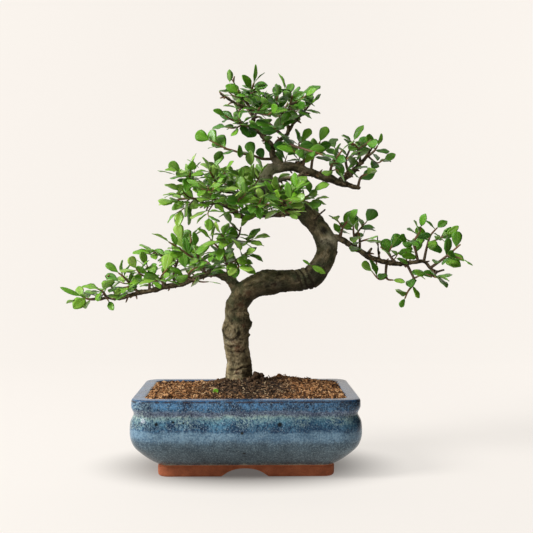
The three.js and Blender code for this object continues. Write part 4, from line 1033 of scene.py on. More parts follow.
# %% Relief of the bark
for number, (point, where, radius) in enumerate(zip(skin, grain, thickness)):
    old = min(1.0, radius / 9)
    plates = noise.voronoi(Vector((where[0] / 5, where[1] / 5, where[2] / 4)))[0]
    edge = min(1.0, (plates[1] - plates[0]) * 3)
    ridges = 1 - abs(noise.noise(Vector((where[0] / 3.4, where[1] / 3.4, where[2] / 5)))) * 2
    grit = noise.noise(Vector(point) / 1.7)
    lump = noise.noise(Vector(point) / 6.5)
    relief[number] += old * (0.34 * (edge - 0.8) + 0.30 * (ridges - 0.6) + 0.75 * lump) + (0.14 + 0.12 * old) * grit
    knotty = noise.noise(Vector((where[0] / 9, where[1] / 9, where[2] / 4.5)))
    relief[number] += (1 - old) * min(0.65, 0.21 * radius) * (1.6 * knotty + 0.5 * max(0, knotty - 0.25) * 4)
    if radius > 10:
        angle = math.atan2(point[1] - 15, point[0] + 9)
        for height, depth, slope, side in CREASES:
            wobble = 2.2 * noise.noise(Vector((point[0] / 8, point[1] / 8, height)))
            turn = abs((angle - side + math.pi) % (2 * math.pi) - math.pi)
            strength = max(0, 1 - turn / 1.5) * (1 + 0.5 * noise.noise(Vector((point[0] / 4, point[1] / 4, height))))
            off = point[2] - height - wobble - slope * (point[0] + 9)
            lip = 0.5 * math.exp(-((off - 2) / 1.6) ** 2)
            relief[number] += depth * strength * (lip - math.exp(-(off / 0.9) ** 2))
        offset = (point - WOUND[0]) * (0.9, 1, 1)
        away = np.linalg.norm(offset) + 3.2 * noise.noise(Vector(point) / 7) + 1.2 * noise.noise(Vector(point) / 2.5)
        ringed = 0.6 + 0.9 * noise.noise(Vector(point) / 6 + Vector((0, 0, 5)))
        relief[number] += 0.7 * ringed * math.cos(2 * math.pi * away / 3.6) * math.exp(-(away / WOUND[1]) ** 4)
        if offset[2] < 2:
            relief[number] -= min(1, (2 - offset[2]) / 4) * 1.3 * math.exp(-((away - 10.5) / 1.2) ** 2)
        if point[2] < 222 and 45 < point[0] < 85:
            for x, depth in BEND_FOLDS:
                wobble = 1.8 * noise.noise(Vector((point[2] / 7, point[1] / 7, x)))
                off = point[0] - x - wobble + 0.45 * (point[2] - 205)
                relief[number] -= depth * math.exp(-(off / 1.1) ** 2)
        flare = max(0.0, 1 - (point[2] - 84) / 9) if point[2] < 93 else 0.0
        buttress = noise.noise(Vector((math.cos(angle) * 1.9, math.sin(angle) * 1.9, 4)))
        relief[number] += flare * (1.2 + 3.2 * max(0, buttress))
skin += normals * relief[:, None]
wood.data.vertices.foreach_set("co", placed(skin).ravel())
wood.data.attributes.new("grain", "FLOAT_VECTOR", "POINT").data.foreach_set("vector", grain.ravel())
for label, values in [("thickness", thickness), ("relief", relief), ("blush", blush), ("pale_wood_and_painted_light", pale_wood_and_painted_light),
                      ("dark_crusts_and_painted_shade", dark_crusts_and_painted_shade), ("upward", normals[:, 2])]:
    wood.data.attributes.new(label, "FLOAT", "POINT").data.foreach_set("value", values)
wood.data.update()
print("bark relief from", relief.min().round(2), "to", relief.max().round(2), "mm")

# %% [markdown]
# Elm bark is a mottle: olive grey where algae grow on it, warmer grey brown where plates have
# flaked, and brick red in the youngest wounds. Every crack is painted dark as shade. It is dry and matt.

# %% Bark finish
bark, tree, shader = material("flaking elm bark")
place = pot_millimetres(tree)
where = node(tree, "Attribute", out="Vector", attribute_name="grain")
bark_relief = node(tree, "Attribute", out="Fac", attribute_name="relief")
girth = node(tree, "Attribute", out="Fac", attribute_name="thickness")
plates = spots(tree, where, 9, 3, (1, 1, 0.7))
algae = spots(tree, place, 14, 3)
colour = node(tree, "ValToRGB", node(tree, "MapRange", plates, 0.3, 0.7),
              stops=[(0.0, "#4e4330"), (0.35, "#908161"), (0.65, "#c9b58d"), (1.0, "#e4d8b5")])
# Algae like the shaded upper boughs more than the dry foot of the trunk
level = node(tree, "SeparateXYZ", place, out="Z")
greening = node(tree, "Math:MULTIPLY", node(tree, "MapRange", algae, 0.4, 0.6),
                node(tree, "Math:ADD", node(tree, "MapRange", level, 120, 200), 0.15))
colour = coated(tree, colour, "#52674a", greening, 0.68)
blush = node(tree, "Attribute", out="Fac", attribute_name="blush")
frayed = node(tree, "Math:MULTIPLY", node(tree, "Math:SUBTRACT", spots(tree, where, 3, 3), 0.5), 1.6)
sore = node(tree, "MapRange", node(tree, "Math:ADD", blush, frayed), 0.45, 0.9)
colour = coated(tree, colour, "#7a4a38", sore, 0.7)
pale_wood_and_painted_light = node(tree, "Attribute", out="Fac", attribute_name="pale_wood_and_painted_light")
flakes = node(tree, "MapRange", spots(tree, where, 2.6, 3, (1, 1, 1.4)), 0.56, 0.66)
colour = coated(tree, colour, "#a39f80", flakes, 0.45)
specks = node(tree, "MapRange", spots(tree, where, 1.5, 3), 0.55, 0.75)
colour = coated(tree, colour, "#3b372c", specks, 0.46)
# Painted shade: the right side of the trunk is darker, away from the light on the left, less so on the pale wood
painted_shade_right_side = node(tree, "Math:SUBTRACT", node(tree, "MapRange", node(tree, "SeparateXYZ", place, out="X"), -10, 14),
            node(tree, "Math:MULTIPLY", pale_wood_and_painted_light, 0.8), use_clamp=True)
colour = coated(tree, colour, "#28251a", painted_shade_right_side, 0.54)

# %% [markdown]
# Last come age, weather, and painted light and shade: painted light on what faces up, fibres along
# the limb, brown bark on the young branches, painted shade on the undersides, pale old wood painted
# paler still as painted light, the crusts' own dark, and painted shade under the bends, in the
# hollows and in the cracks.

# %% Light and shade on the bark
upward = node(tree, "Attribute", out="Fac", attribute_name="upward")
# Painted light: what faces up is lighter
colour = coated(tree, colour, "#a89d80", node(tree, "MapRange", upward, 0.45, 1.0), 0.22)
fibres = spots(tree, where, 1.1, 4, (1, 1, 0.3), 0.65)
colour = coated(tree, colour, "#2b2419", node(tree, "MapRange", fibres, 0.48, 0.34), 0.5)
colour = coated(tree, colour, "#b8ac8e", node(tree, "MapRange", fibres, 0.56, 0.7), 0.3)
young = node(tree, "MapRange", girth, 6.5, 3.0)
twig_brown = node(tree, "ValToRGB", spots(tree, where, 3.5, 4, (1, 1, 0.7), 0.65),
                  stops=[(0.4, "#1a130c"), (0.5, "#5c4a38"), (0.6, "#a08c72")])
colour = coated(tree, colour, twig_brown, young, 0.75)
# Painted shade: the underside of a bough is painted dark, less so on the pale wood
away_from_pale_lit_wood = node(tree, "Math:SUBTRACT", 1.0, node(tree, "Math:MULTIPLY", pale_wood_and_painted_light, 0.6))
shaded = node(tree, "Math:MULTIPLY", node(tree, "MapRange", upward, 0.3, -0.7), away_from_pale_lit_wood)
colour = coated(tree, colour, "#1a150d", shaded, 0.72)
# Pale old wood, painted paler still as painted light
pale_and_lit_patches = node(tree, "Math:MULTIPLY", pale_wood_and_painted_light,
                 node(tree, "MapRange", spots(tree, where, 2.4, 3, (1, 1, 0.5)), 0.26, 0.46))
colour = coated(tree, colour, "#ddd2b8", pale_and_lit_patches, 0.95)
sawn = node(tree, "VectorMath:DISTANCE", place, SAWN_FACE, out="Value")
colour = coated(tree, colour, "#474d4d", node(tree, "MapRange", sawn, 8.5, 6.0), 0.75)
# Painted shade under the bends and in the hollows, and the dark of the crusts themselves
dark_crusts_and_painted_shade = node(tree, "Attribute", out="Fac", attribute_name="dark_crusts_and_painted_shade")
colour = coated(tree, colour, "#1b160f", dark_crusts_and_painted_shade, 0.7)
# Painted shade: the deeper the bark sinks, the darker it is painted
painted_crack_shade = node(tree, "MapRange", bark_relief, -0.1, -0.75)
colour = coated(tree, colour, "#271f18", painted_crack_shade, 0.74)
fill(shader, {"Base Color": colour, "Roughness": 0.82, "Specular IOR Level": 0.08,
              "Normal": node(tree, "Bump", {"Height": fibres, "Distance": 0.0012})})
wood.data.materials.clear()
wood.data.materials.append(bark)
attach(wood, "root")
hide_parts("trunk_and_branches")

# %% [markdown]
# ## Twigs and leaves
#
# A spray is a thin twig on the wood, with side twigs on it, and leaves on both. Each row below
# is a twig: the points it passes, how many leaves it carries, and how long the leaf at its end
# is. The first twig of a spray starts on the wood, the others on the first.

# %% Leafy twigs
SPRAYS = {
    "apex_long_spray": [
        ([(28, 11, 333), (17, 6, 335), (8, 3, 338), (-4, 0, 340), (-14, -2, 343), (-24, -3, 346), (-40, -4, 354)], 8, 15)],
    "apex_spray_1": [([(-2, 12, 401), (5, 7, 408), (8, 2, 417)], 4, 21), ([(4, 9, 406), (13, -4, 408)], 2, 14)],
    "apex_spray_2": [
        ([(1, 12, 398), (-6, -4, 403), (-9, -14, 407)], 4, 14),
        ([(-4, 1, 402), (-13, -9, 401), (-19, -12, 405)], 2, 13)],
    "apex_spray_3": [
        ([(12, 8, 366), (-4, -2, 372), (-17, -10, 376), (-23, -13, 380)], 5, 13),
        ([(-4, -2, 372), (-10, -14, 366)], 2, 15)],
    "apex_spray_4": [
        ([(7, 10, 380), (12, -14, 384), (17, -30, 389)], 4, 14),
        ([(11, -9, 383), (22, -28, 378), (27, -38, 380)], 2, 14)],
    "apex_spray_5": [
        ([(39, 15, 387), (33, 9, 395), (34, 2, 403)], 4, 15), ([(34, 10, 394), (24, 1, 398), (17, -6, 404)], 2, 14)],
    "apex_spray_6": [
        ([(43, 16, 379), (48, 13, 394), (51, 8, 405)], 4, 16), ([(48, 13, 396), (59, 3, 399), (65, -3, 403)], 2, 14),
        ([(46, 11, 393), (53, -13, 384), (56, -22, 386)], 2, 14)],
    "apex_spray_7": [([(61, 22, 385), (66, 17, 391), (71, 11, 396)], 4, 15), ([(64, 19, 388), (70, 6, 385)], 2, 13)],
    "apex_spray_8": [([(42, 15, 360), (33, -9, 365), (25, -23, 370)], 4, 14)],
    "apex_spray_9": [([(7, 10, 381), (2, 39, 393), (-3, 61, 405)], 4, 14), ([(3, 32, 390), (15, 52, 400)], 2, 14)],
    "apex_spray_10": [
        ([(44, 16, 380), (43, 45, 393), (48, 67, 406)], 4, 14), ([(43, 42, 391), (58, 61, 398)], 2, 14)],
    "crown_spray_1": [
        ([(62, 8, 325), (63, 0, 337), (58, -6, 346), (57, -8, 351)], 3, 14),
        ([(62, -2, 340), (54, -14, 339), (49, -24, 343)], 2, 13)],
    "crown_spray_2": [([(44, 15, 361), (47, -6, 350), (60, -23, 343), (70, -31, 339), (81, -35, 335)], 6, 15)],
    "crown_spray_3": [
        ([(72, 8, 321), (73, 6, 335), (78, 5, 346), (81, 5, 354)], 4, 16),
        ([(74, 6, 339), (86, 14, 345), (92, 18, 351)], 2, 14)],
    "crown_spray_4": [
        ([(92, 10, 314), (93, -6, 327), (98, -16, 335), (103, -20, 342)], 4, 15),
        ([(94, -8, 327), (104, -22, 330), (110, -28, 334)], 2, 14),
        ([(93, 2, 321), (97, -19, 321), (99, -25, 317)], 2, 13)],
    "crown_spray_5": [
        ([(114, 16, 319), (111, 22, 334), (115, 22, 346), (120, 21, 357)], 5, 18),
        ([(112, 22, 331), (106, 38, 343), (101, 48, 352)], 2, 14),
        ([(111, 22, 337), (123, 45, 344), (126, 58, 353)], 2, 14)],
    "crown_spray_6": [
        ([(127, 18, 333), (123, 10, 347), (116, 5, 353)], 3, 14),
        ([(123, 10, 346), (131, 0, 351), (136, -4, 355)], 2, 14)],
    "crown_spray_7": [
        ([(133, 19, 338), (141, 13, 344), (145, 9, 350)], 3, 13),
        ([(135, 17, 339), (144, 9, 331), (152, 5, 335)], 2, 12)],
    "crown_spray_8": [([(124, 13, 304), (126, 7, 315), (132, -1, 318)], 3, 15)],
    "crown_spray_9": [([(76, 50, 343), (83, 63, 354)], 3, 14), ([(79, 55, 347), (69, 60, 354)], 2, 13)],
    "centre_spray_1": [
        ([(-25, 3, 300), (-34, -7, 310), (-40, -11, 321)], 4, 14),
        ([(-32, -5, 308), (-25, -18, 315), (-22, -24, 319)], 2, 15)],
    "centre_spray_2": [
        ([(-54, 3, 307), (-64, -2, 314), (-71, -5, 320)], 4, 14), ([(-61, -2, 313), (-60, -15, 320)], 2, 14)],
    "centre_spray_3": [
        ([(-45, -6, 285), (-57, -16, 290), (-70, -19, 289), (-79, -19, 287)], 5, 14),
        ([(-61, -16, 290), (-67, -25, 297)], 2, 14), ([(-56, -14, 289), (-65, -12, 281), (-75, -9, 275)], 2, 14)],
    "centre_spray_4": [
        ([(-31, -8, 285), (-36, -30, 292), (-40, -46, 300)], 4, 15), ([(-35, -27, 290), (-25, -46, 296)], 2, 15),
        ([(-33, -16, 288), (-40, -34, 275), (-39, -40, 268)], 2, 15)],
    "centre_spray_5": [
        ([(-1, 6, 295), (-4, -5, 305), (-9, -13, 313)], 4, 15), ([(-3, 0, 302), (9, -4, 306), (15, -7, 316)], 4, 14)],
    "centre_spray_6": [
        ([(-9, -8, 273), (-11, -30, 282), (-6, -46, 290)], 4, 15), ([(-10, -26, 280), (-19, -46, 285)], 2, 14)],
    "centre_spray_7": [
        ([(13, -1, 274), (12, -35, 280), (16, -57, 288)], 4, 15), ([(13, -38, 281), (25, -63, 282)], 2, 14)],
    "centre_spray_8": [
        ([(39, 20, 292), (39, -6, 298), (35, -25, 304)], 3, 15),
        ([(39, -1, 298), (47, -25, 294), (50, -31, 297)], 2, 22)],
    "centre_spray_9": [
        ([(53, 22, 285), (58, -4, 289), (66, -16, 293)], 4, 15), ([(59, -5, 290), (68, -26, 285)], 2, 14)],
    "centre_spray_10": [
        ([(33, -27, 274), (40, -38, 280), (48, -45, 285)], 4, 15), ([(40, -38, 280), (34, -57, 288)], 2, 14),
        ([(37, -33, 278), (46, -54, 272)], 2, 14)],
    "centre_spray_11": [
        ([(20, 48, 301), (18, 58, 312), (24, 64, 320)], 4, 15), ([(19, 53, 307), (7, 67, 314)], 2, 14)],
    "centre_spray_12": [
        ([(-10, 64, 309), (-23, 70, 312), (-35, 74, 317)], 4, 15), ([(-19, 69, 311), (-22, 80, 322)], 2, 14)],
    "left_spray_1": [([(-166, 7, 181), (-173, 5, 181), (-180, 4, 184)], 3, 26)],
    "left_spray_2": [
        ([(-153, 7, 182), (-156, -6, 190), (-160, -14, 193)], 3, 12), ([(-154, -1, 186), (-148, -12, 179)], 1, 13)],
    "left_spray_3": [
        ([(-118, 4, 188), (-126, -4, 198), (-133, -9, 206), (-138, -10, 210)], 4, 15),
        ([(-125, -2, 197), (-133, -17, 193)], 2, 13), ([(-123, -1, 195), (-128, 23, 199), (-136, 41, 203)], 2, 14)],
    "left_spray_4": [
        ([(-106, 2, 190), (-105, -6, 206), (-107, -12, 218)], 4, 15),
        ([(-105, -4, 205), (-113, -22, 209), (-117, -28, 215)], 2, 14)],
    "left_spray_5": [
        ([(-79, -2, 197), (-80, 8, 209), (-76, 14, 222), (-68, 20, 235), (-62, 24, 244), (-63, 25, 253)], 5, 17),
        ([(-77, 12, 220), (-88, 4, 227), (-100, -2, 232), (-107, -4, 235)], 4, 15)],
    "left_spray_6": [([(-44, 0, 209), (-48, -21, 221), (-59, -32, 228), (-70, -38, 236), (-81, -42, 243)], 6, 18)],
    "left_spray_7": [
        ([(-89, -1, 195), (-91, -22, 205), (-83, -35, 215)], 4, 14), ([(-92, -19, 204), (-98, -36, 201)], 2, 13)],
    "left_spray_8": [([(-34, 2, 209), (-41, 15, 219), (-51, 23, 226), (-58, 28, 234)], 4, 14)],
    "left_spray_9": [
        ([(-66, -2, 200), (-60, -24, 211), (-51, -39, 217)], 3, 14),
        ([(-63, -12, 205), (-49, -28, 201), (-40, -34, 201)], 2, 14)],
    "left_spray_10": [
        ([(-19, 9, 212), (-24, -9, 228), (-30, -20, 237), (-38, -26, 246)], 4, 17),
        ([(-29, -18, 236), (-23, -34, 246), (-27, -39, 252)], 2, 14)],
    "left_spray_11": [
        ([(-20, 14, 241), (-9, 12, 250), (-6, 8, 260)], 3, 14),
        ([(-16, 14, 245), (-4, -10, 244), (4, -18, 243)], 2, 14)],
    "left_spray_12": [
        ([(-18, 11, 221), (-9, -13, 225), (0, -26, 231)], 3, 14),
        ([(-11, -8, 224), (-8, -29, 217), (-10, -35, 215)], 2, 17)],
    "left_spray_13": [
        ([(-69, 50, 221), (-81, 61, 225), (-90, 68, 230)], 4, 14), ([(-78, 60, 224), (-78, 69, 235)], 2, 14)],
    "right_spray_1": [
        ([(105, 14, 248), (106, 3, 260), (112, -7, 268)], 4, 14), ([(106, 4, 259), (99, -10, 267)], 2, 13)],
    "right_spray_2": [
        ([(122, 11, 236), (120, 21, 252), (120, 27, 263)], 3, 14),
        ([(120, 19, 250), (129, 30, 260), (136, 35, 267)], 2, 19)],
    "right_spray_3": [
        ([(127, 11, 234), (124, -2, 247), (121, -10, 255)], 3, 14), ([(124, 1, 244), (132, -15, 247)], 2, 13)],
    "right_spray_4": [
        ([(165, 9, 221), (154, -5, 232), (145, -15, 238)], 3, 14), ([(155, -4, 231), (158, -15, 241)], 2, 13),
        ([(159, 1, 227), (171, 20, 232), (178, 28, 235)], 2, 14)],
    "right_spray_5": [
        ([(189, 13, 222), (187, 5, 232), (183, -3, 243), (188, -9, 254), (189, -13, 260)], 5, 14),
        ([(183, -3, 242), (173, -16, 246)], 2, 14)],
    "right_spray_6": [
        ([(197, 13, 222), (202, 23, 237), (207, 27, 251), (215, 29, 260)], 4, 14),
        ([(204, 24, 243), (215, 15, 248), (221, 10, 252)], 4, 15)],
    "right_spray_7": [
        ([(204, 12, 215), (213, 1, 223), (223, -6, 232), (233, -9, 241)], 5, 17),
        ([(219, -2, 229), (227, -18, 227), (232, -23, 225)], 2, 15)],
    "right_spray_8": [
        ([(211, 11, 211), (205, -5, 206), (209, -15, 205)], 3, 23), ([(205, -5, 206), (193, -18, 209)], 2, 14)],
    "right_spray_9": [
        ([(154, 9, 221), (153, 1, 210), (154, -4, 203), (160, -7, 202)], 2, 12),
        ([(153, -2, 205), (144, -10, 203), (135, -18, 212)], 2, 15)],
    "right_spray_10": [
        ([(178, 11, 221), (181, 5, 211), (184, -2, 200), (176, -8, 190), (172, -11, 182)], 4, 10),
        ([(183, 0, 204), (191, -10, 208)], 2, 13)],
}

# %% [markdown]
# Leaves grow by a rule. They stand alternately left and right of the twig, lean forward, tilt to
# the light and out of the tree, and one closes the end. The draws are repeatable, and a leaf
# that would run into another twig, leaf or branch is tried again, then left out. It is the rule
# that placed the solid blades, with the same draws, so every fine blade lies in its solid one.

# %% Rule for a leaf
LEAF_DROOP = 0.16
TWIG_BARE = 0.36


def repeatable(seed):
    """Endless draws from -1 to 1 that are the same every time."""
    state = seed
    while True:
        state = (state + 0x6d2b79f5) & 0xffffffff
        mixed_bits = state
        mixed_bits = ((mixed_bits ^ (mixed_bits >> 15)) * (mixed_bits | 1)) & 0xffffffff
        step = ((mixed_bits ^ (mixed_bits >> 7)) * (mixed_bits | 61)) & 0xffffffff
        mixed_bits = mixed_bits ^ ((mixed_bits + step) & 0xffffffff)
        yield ((mixed_bits ^ (mixed_bits >> 14)) & 0xffffffff) / 4294967296 * 2 - 1


def unit(vector):
    return vector / np.linalg.norm(vector)


def path_place(path, fraction):
    """Place and direction at a fraction of a path's length."""
    spans = np.linalg.norm(np.diff(path, axis=0), axis=1)
    left = spans.sum() * fraction
    for i, span in enumerate(spans):
        if left <= span or i == len(spans) - 1:
            direction = (path[i + 1] - path[i]) / span
            return path[i] + direction * left, direction
        left -= span


def path_samples(path, spacing):
    length = np.linalg.norm(np.diff(path, axis=0), axis=1).sum()
    count = max(1, math.floor(length / spacing + 0.5))
    return [path_place(path, i / count)[0] for i in range(count + 1)]

# %% [markdown]
# Where the crown is open to the light decides how a leaf lies. It faces up and out of the tree,
# to the front or to the back, and stands off its twig at about a radian, now left, now right.

# %% One leaf
def out_of_tree(point):
    return unit(np.array([point[0] / 300, -1.0 if point[1] < 34 else 1.0, 0.0]))


def up_of_twig(point, direction):
    steep = abs(direction[2])
    return unit(np.array([0, 0, 1 - steep]) + out_of_tree(point) * steep)


def leaf_on(path, leaves, tip, number, draws):
    """The base, axis, normal, length and width of one leaf of a twig."""
    d = [next(draws) for _ in range(8)]
    last = number == leaves - 1
    step = (number + 0.5 + 0.25 * d[0]) / (leaves - 0.5)
    point, direction = path_place(path, 1 if last else TWIG_BARE + (0.97 - TWIG_BARE) * step)
    if last:
        point = point - direction * 0.6
    up = up_of_twig(point, direction)
    lateral = unit(np.cross(direction, up))
    side = 1 if number % 2 == 0 else -1
    angle = 0.2 * d[1] if last else side * (1 + 0.25 * d[1])
    axis = direction * math.cos(angle) + lateral * math.sin(angle)
    axis = unit(axis + up * (0.08 * d[2] if last else 0.12 + 0.28 * d[2]))
    normal = np.array([0, 0, 0.5]) + out_of_tree(point) * 0.45 + np.array(d[3:6]) * 0.55
    normal = unit(normal - axis * (normal @ axis))
    length = tip if last else 13 + 6 * (d[6] + 1) / 2
    width = length * (0.4 if last and length > 19 else 0.54 + 0.07 * d[7])
    return {"base": point, "axis": axis, "normal": normal, "length": length, "width": width, "last": last,
            "form": None, "swell": 1.0}

# %% [markdown]
# To see whether a leaf has room, fifteen points on its blade are compared with points on all
# that is there already. That is much faster than testing one mesh against the other.

# %% Room for a leaf
SAMPLE_PLACES = np.array([(along, across) for along in (0.25, 0.45, 0.65, 0.85, 1) for across in (-0.85, 0, 0.85)])


def leaf_samples(leaf):
    """Fifteen points on the blade, to tell how near it comes to others."""
    along, across = SAMPLE_PLACES[:, :1], SAMPLE_PLACES[:, 1:]
    lateral = np.cross(leaf["normal"], leaf["axis"])
    return (leaf["base"] + leaf["axis"] * along * leaf["length"] + lateral * across * leaf["width"] / 2
            - leaf["normal"] * LEAF_DROOP * leaf["length"] * along ** 2)


def too_close(samples, crowd, distance):
    """True if any sample is nearer to the crowd than this distance, or than each one's own."""
    if not len(crowd):
        return False
    gaps = ((samples[:, None, :] - crowd[None, :, :]) ** 2).sum(2)
    return bool((gaps < np.square(distance)).any())


# %% [markdown]
# A blade needs air round it. Points along every limb, each with the limb's radius, and points
# along every twig tell how near it comes. A spray starts on the wood, so its first point moves
# to the middle of the limb that carries it.

# %% Wood that the leaves keep clear of
wood_spots, wood_radii = [], []
for rows in [TRUNK] + list(BRANCHES.values()):
    rows = np.asarray(rows, float)
    for start, end in zip(rows, rows[1:]):
        for quarter in range(4):
            here = start * (1 - quarter / 4) + end * quarter / 4
            wood_spots.append(here[:3])
            wood_radii.append(here[3])
    wood_spots.append(rows[-1, :3])
    wood_radii.append(rows[-1, 3])
wood_spots, wood_radii = np.array(wood_spots), np.array(wood_radii)


def rooted(spray):
    """The spray's twigs with their first points moved onto what they grow from."""
    made = []
    for order, (path, leaves, tip) in enumerate(spray):
        path = np.array(path, float)
        carriers = wood_spots if order == 0 else np.array(path_samples(made[0][0], 0.5))
        path[0] = carriers[np.argmin(np.linalg.norm(carriers - path[0], axis=1))]
        made.append((path, leaves, tip))
    return made


twigs_of = {name: rooted(spray) for name, spray in SPRAYS.items()}
twig_spots = {name: np.array([p for path, _, _ in twigs for p in path_samples(path, 2.5)])
              for name, twigs in twigs_of.items()}

# %% [markdown]
# These are the leaves that the solids have, found again by the same rule in the same order.

# %% Leaves of the solids
draws = repeatable(2024)
leaves_of = {name: [] for name in SPRAYS}
blade_spots = {name: np.empty((0, 3)) for name in SPRAYS}
for name, twigs in twigs_of.items():
    other_twigs = np.vstack([spots_there for other, spots_there in twig_spots.items() if other != name])
    other_blades = np.vstack([spots_there for other, spots_there in blade_spots.items() if other != name])
    for path, count, tip in twigs:
        for number in range(count):
            for attempt in range(14):
                leaf = leaf_on(path, count, tip, number, draws)
                samples = leaf_samples(leaf)
                if not (too_close(samples, wood_spots, wood_radii + 1.5) or too_close(samples, other_twigs, 2.6)
                        or too_close(samples, other_blades, 3.7) or too_close(samples, blade_spots[name], 4.6)):
                    leaves_of[name].append(leaf)
                    blade_spots[name] = np.vstack([blade_spots[name], samples])
                    break
print("leaves with a solid blade:", sum(len(found) for found in leaves_of.values()))

# %% [markdown]
# The solids carry fewer leaves than the tree, to stay light. The same twigs get a second flush
# here: smaller leaves between the first ones, short side shoots, and spurs that break from the
# boughs. They keep out of the way of everything that is there already, but may come closer,
# because a fine blade is thinner than a solid one.

# %% Second flush
BLADE_GAP = 2.5
# How much wider and longer a fine blade is than the solid one
LEAF_GROWTH = (1.32, 1.16)
# Where the front of the wood stays in sight: place along X, height and reach
KEPT_OPEN = [(13, 313, 8), (21, 321, 9), (34, 326, 6)]
# A shoot that carries only a few round leaves
LONG_SHOOT = "apex_long_spray"
# Boughs whose underside stays bare
BARE_BELOW = {"left": "left", "crown": "crown_right"}
flush = np.random.default_rng(77)
cad_low, cad_high = [(np.array(corner) - POT_CENTRE) / MM for corner in cad_box]
all_twigs = [(name, path, order) for name, twigs in twigs_of.items() for order, (path, _, _) in enumerate(twigs)]
taken = {}


def cell_of(point):
    return tuple(int(math.floor(value / BLADE_GAP)) for value in point)


def take(samples):
    """Marks the cells of space that a blade lies in."""
    for sample in samples:
        taken.setdefault(cell_of(sample), []).append(sample)


def crowded(samples):
    """True if any sample is nearer than BLADE_GAP to a blade that is there already."""
    for sample in samples:
        x, y, z = cell_of(sample)
        for i in (x - 1, x, x + 1):
            for j in (y - 1, y, y + 1):
                for k in (z - 1, z, z + 1):
                    for other in taken.get((i, j, k), ()):
                        if ((sample - other) ** 2).sum() < BLADE_GAP ** 2:
                            return True
    return False


for there in blade_spots.values():
    take(there)
# The one long free shoot has the roundest leaves. Three twigs end in a slender leaf, and one in
# a broad one
for leaf in leaves_of[LONG_SHOOT]:
    leaf.update(form=0, swell=1.25)
for own, form, swell in [("apex_spray_1", 3, 0.75), ("left_spray_1", 3, 0.72), ("right_spray_8", 3, 0.9),
                         ("centre_spray_8", 1, 1.45)]:
    max(leaves_of[own], key=lambda leaf: leaf["length"]).update(form=form, swell=swell)

# %% [markdown]
# A further leaf has to lie inside the model's box, off the bare undersides, off the stretch of
# wood that stays in sight, and clear of the other leaves and of the wood.

# %% Room for one more leaf
def inside_box(leaf):
    """True if the blade, as large as it is drawn, lies inside the model's box."""
    full = dict(leaf, length=leaf["length"] * LEAF_GROWTH[1], width=leaf["width"] * LEAF_GROWTH[0])
    samples = leaf_samples(full)
    return (samples > cad_low + 0.4).all() and (samples < cad_high - 0.4).all()


def below_bough(samples, group):
    """True if a blade would hang under a bough that is bare there."""
    if group not in BARE_BELOW:
        return False
    line = np.array(sorted((x, z) for x, _, z, _ in BRANCHES[BARE_BELOW[group]]))
    over = (samples[:, 0] > line[0, 0]) & (samples[:, 0] < line[-1, 0])
    return bool((samples[over, 2] < np.interp(samples[over, 0], line[:, 0], line[:, 1]) - 2).any())


def in_front(samples):
    """True if a blade would hide wood that stays in sight."""
    near = samples[samples[:, 1] < 20]
    return any((np.hypot(near[:, 0] - x, near[:, 2] - z) < reach).any() for x, z, reach in KEPT_OPEN)


def free_place(leaf, group):
    """True if the blade has room, and lies inside the model's box."""
    samples = leaf_samples(leaf)
    return inside_box(leaf) and not (below_bough(samples, group) or in_front(samples) or crowded(samples)
                                     or too_close(samples, wood_spots, wood_radii + 0.8))


def keep_leaf(leaf, own):
    leaves_of[own].append(leaf)
    take(leaf_samples(leaf))


def extra_leaf(own, path, fraction, length, forward, roll):
    """One more leaf on a twig, if there is room for it."""
    point, direction = path_place(path, fraction)
    up = up_of_twig(point, direction)
    lateral = unit(np.cross(direction, up))
    sideways = lateral * math.cos(roll) + up * math.sin(roll)
    axis = unit(direction * forward + sideways)
    normal = np.array([0, 0, 1.2]) + out_of_tree(point) * 0.35 + flush.uniform(-0.55, 0.55, 3)
    normal = unit(normal - axis * (normal @ axis))
    leaf = {"base": point, "axis": axis, "normal": normal, "length": length,
            "width": length * flush.uniform(0.48, 0.62), "last": False, "form": None, "swell": 1.0}
    if free_place(leaf, own.split("_")[0]):
        keep_leaf(leaf, own)

# %% [markdown]
# A few leaves stand so far from the others that they shape the outline, so they are set one by
# one. Those that start in the air get a stalk from the nearest wood.

# %% Leaves that stand apart
# Leaves that stand apart, where no rule would put them, all facing the front: their spray, base,
# the way they point, length, width and outline
MARKED_LEAVES = [
    (LONG_SHOOT, (8, 3, 338), (-0.4, -0.1, 1.0), 14, 9, 0),
    (LONG_SHOOT, (19, 7, 335), (-0.5, -0.1, 1.0), 11, 7.5, 0),
    ("centre_spray_9", (70, -3, 218), (-0.8, -0.2, 0.6), 9, 3.6, 3),
    ("centre_spray_9", (70, -3, 218), (0.9, -0.25, -0.45), 16, 5.6, 1),
    ("centre_spray_8", (46, -14, 294), (0.65, -0.1, 0.75), 24, 12, 1),
    ("crown_spray_1", (60, -6, 352), (0.5, -0.1, 0.9), 15, 8, 0),
]
grown_from = np.vstack([wood_spots] + list(twig_spots.values()))
stalks = []
for own, base, axis, length, width, form in MARKED_LEAVES:
    base, axis = np.array(base, float), unit(np.array(axis))
    normal = np.array([-0.3, -1.0, 0.5])
    normal = unit(normal - axis * (normal @ axis))
    leaf = {"base": base, "axis": axis, "normal": normal, "length": length, "width": width, "last": False,
            "form": form, "swell": 1.0}
    start = grown_from[np.argmin(np.linalg.norm(grown_from - base, axis=1))]
    stalk, free = np.linalg.norm(start - base), free_place(leaf, own.split("_")[0])
    print(f"{own}: a leaf of {length} mm that stands apart, stalk {stalk:.1f} mm, free: {free}")
    if free:
        keep_leaf(leaf, own)
        if stalk > 1:
            stalks.append((own, np.array([start, (start + base) / 2 + (0, -1, 0), base]), 2))

# %% [markdown]
# The density differs from bough to bough, and one list of shares sets it. A longer twig has
# more tries, and each try draws a place, a length and a direction from the seeded generator.

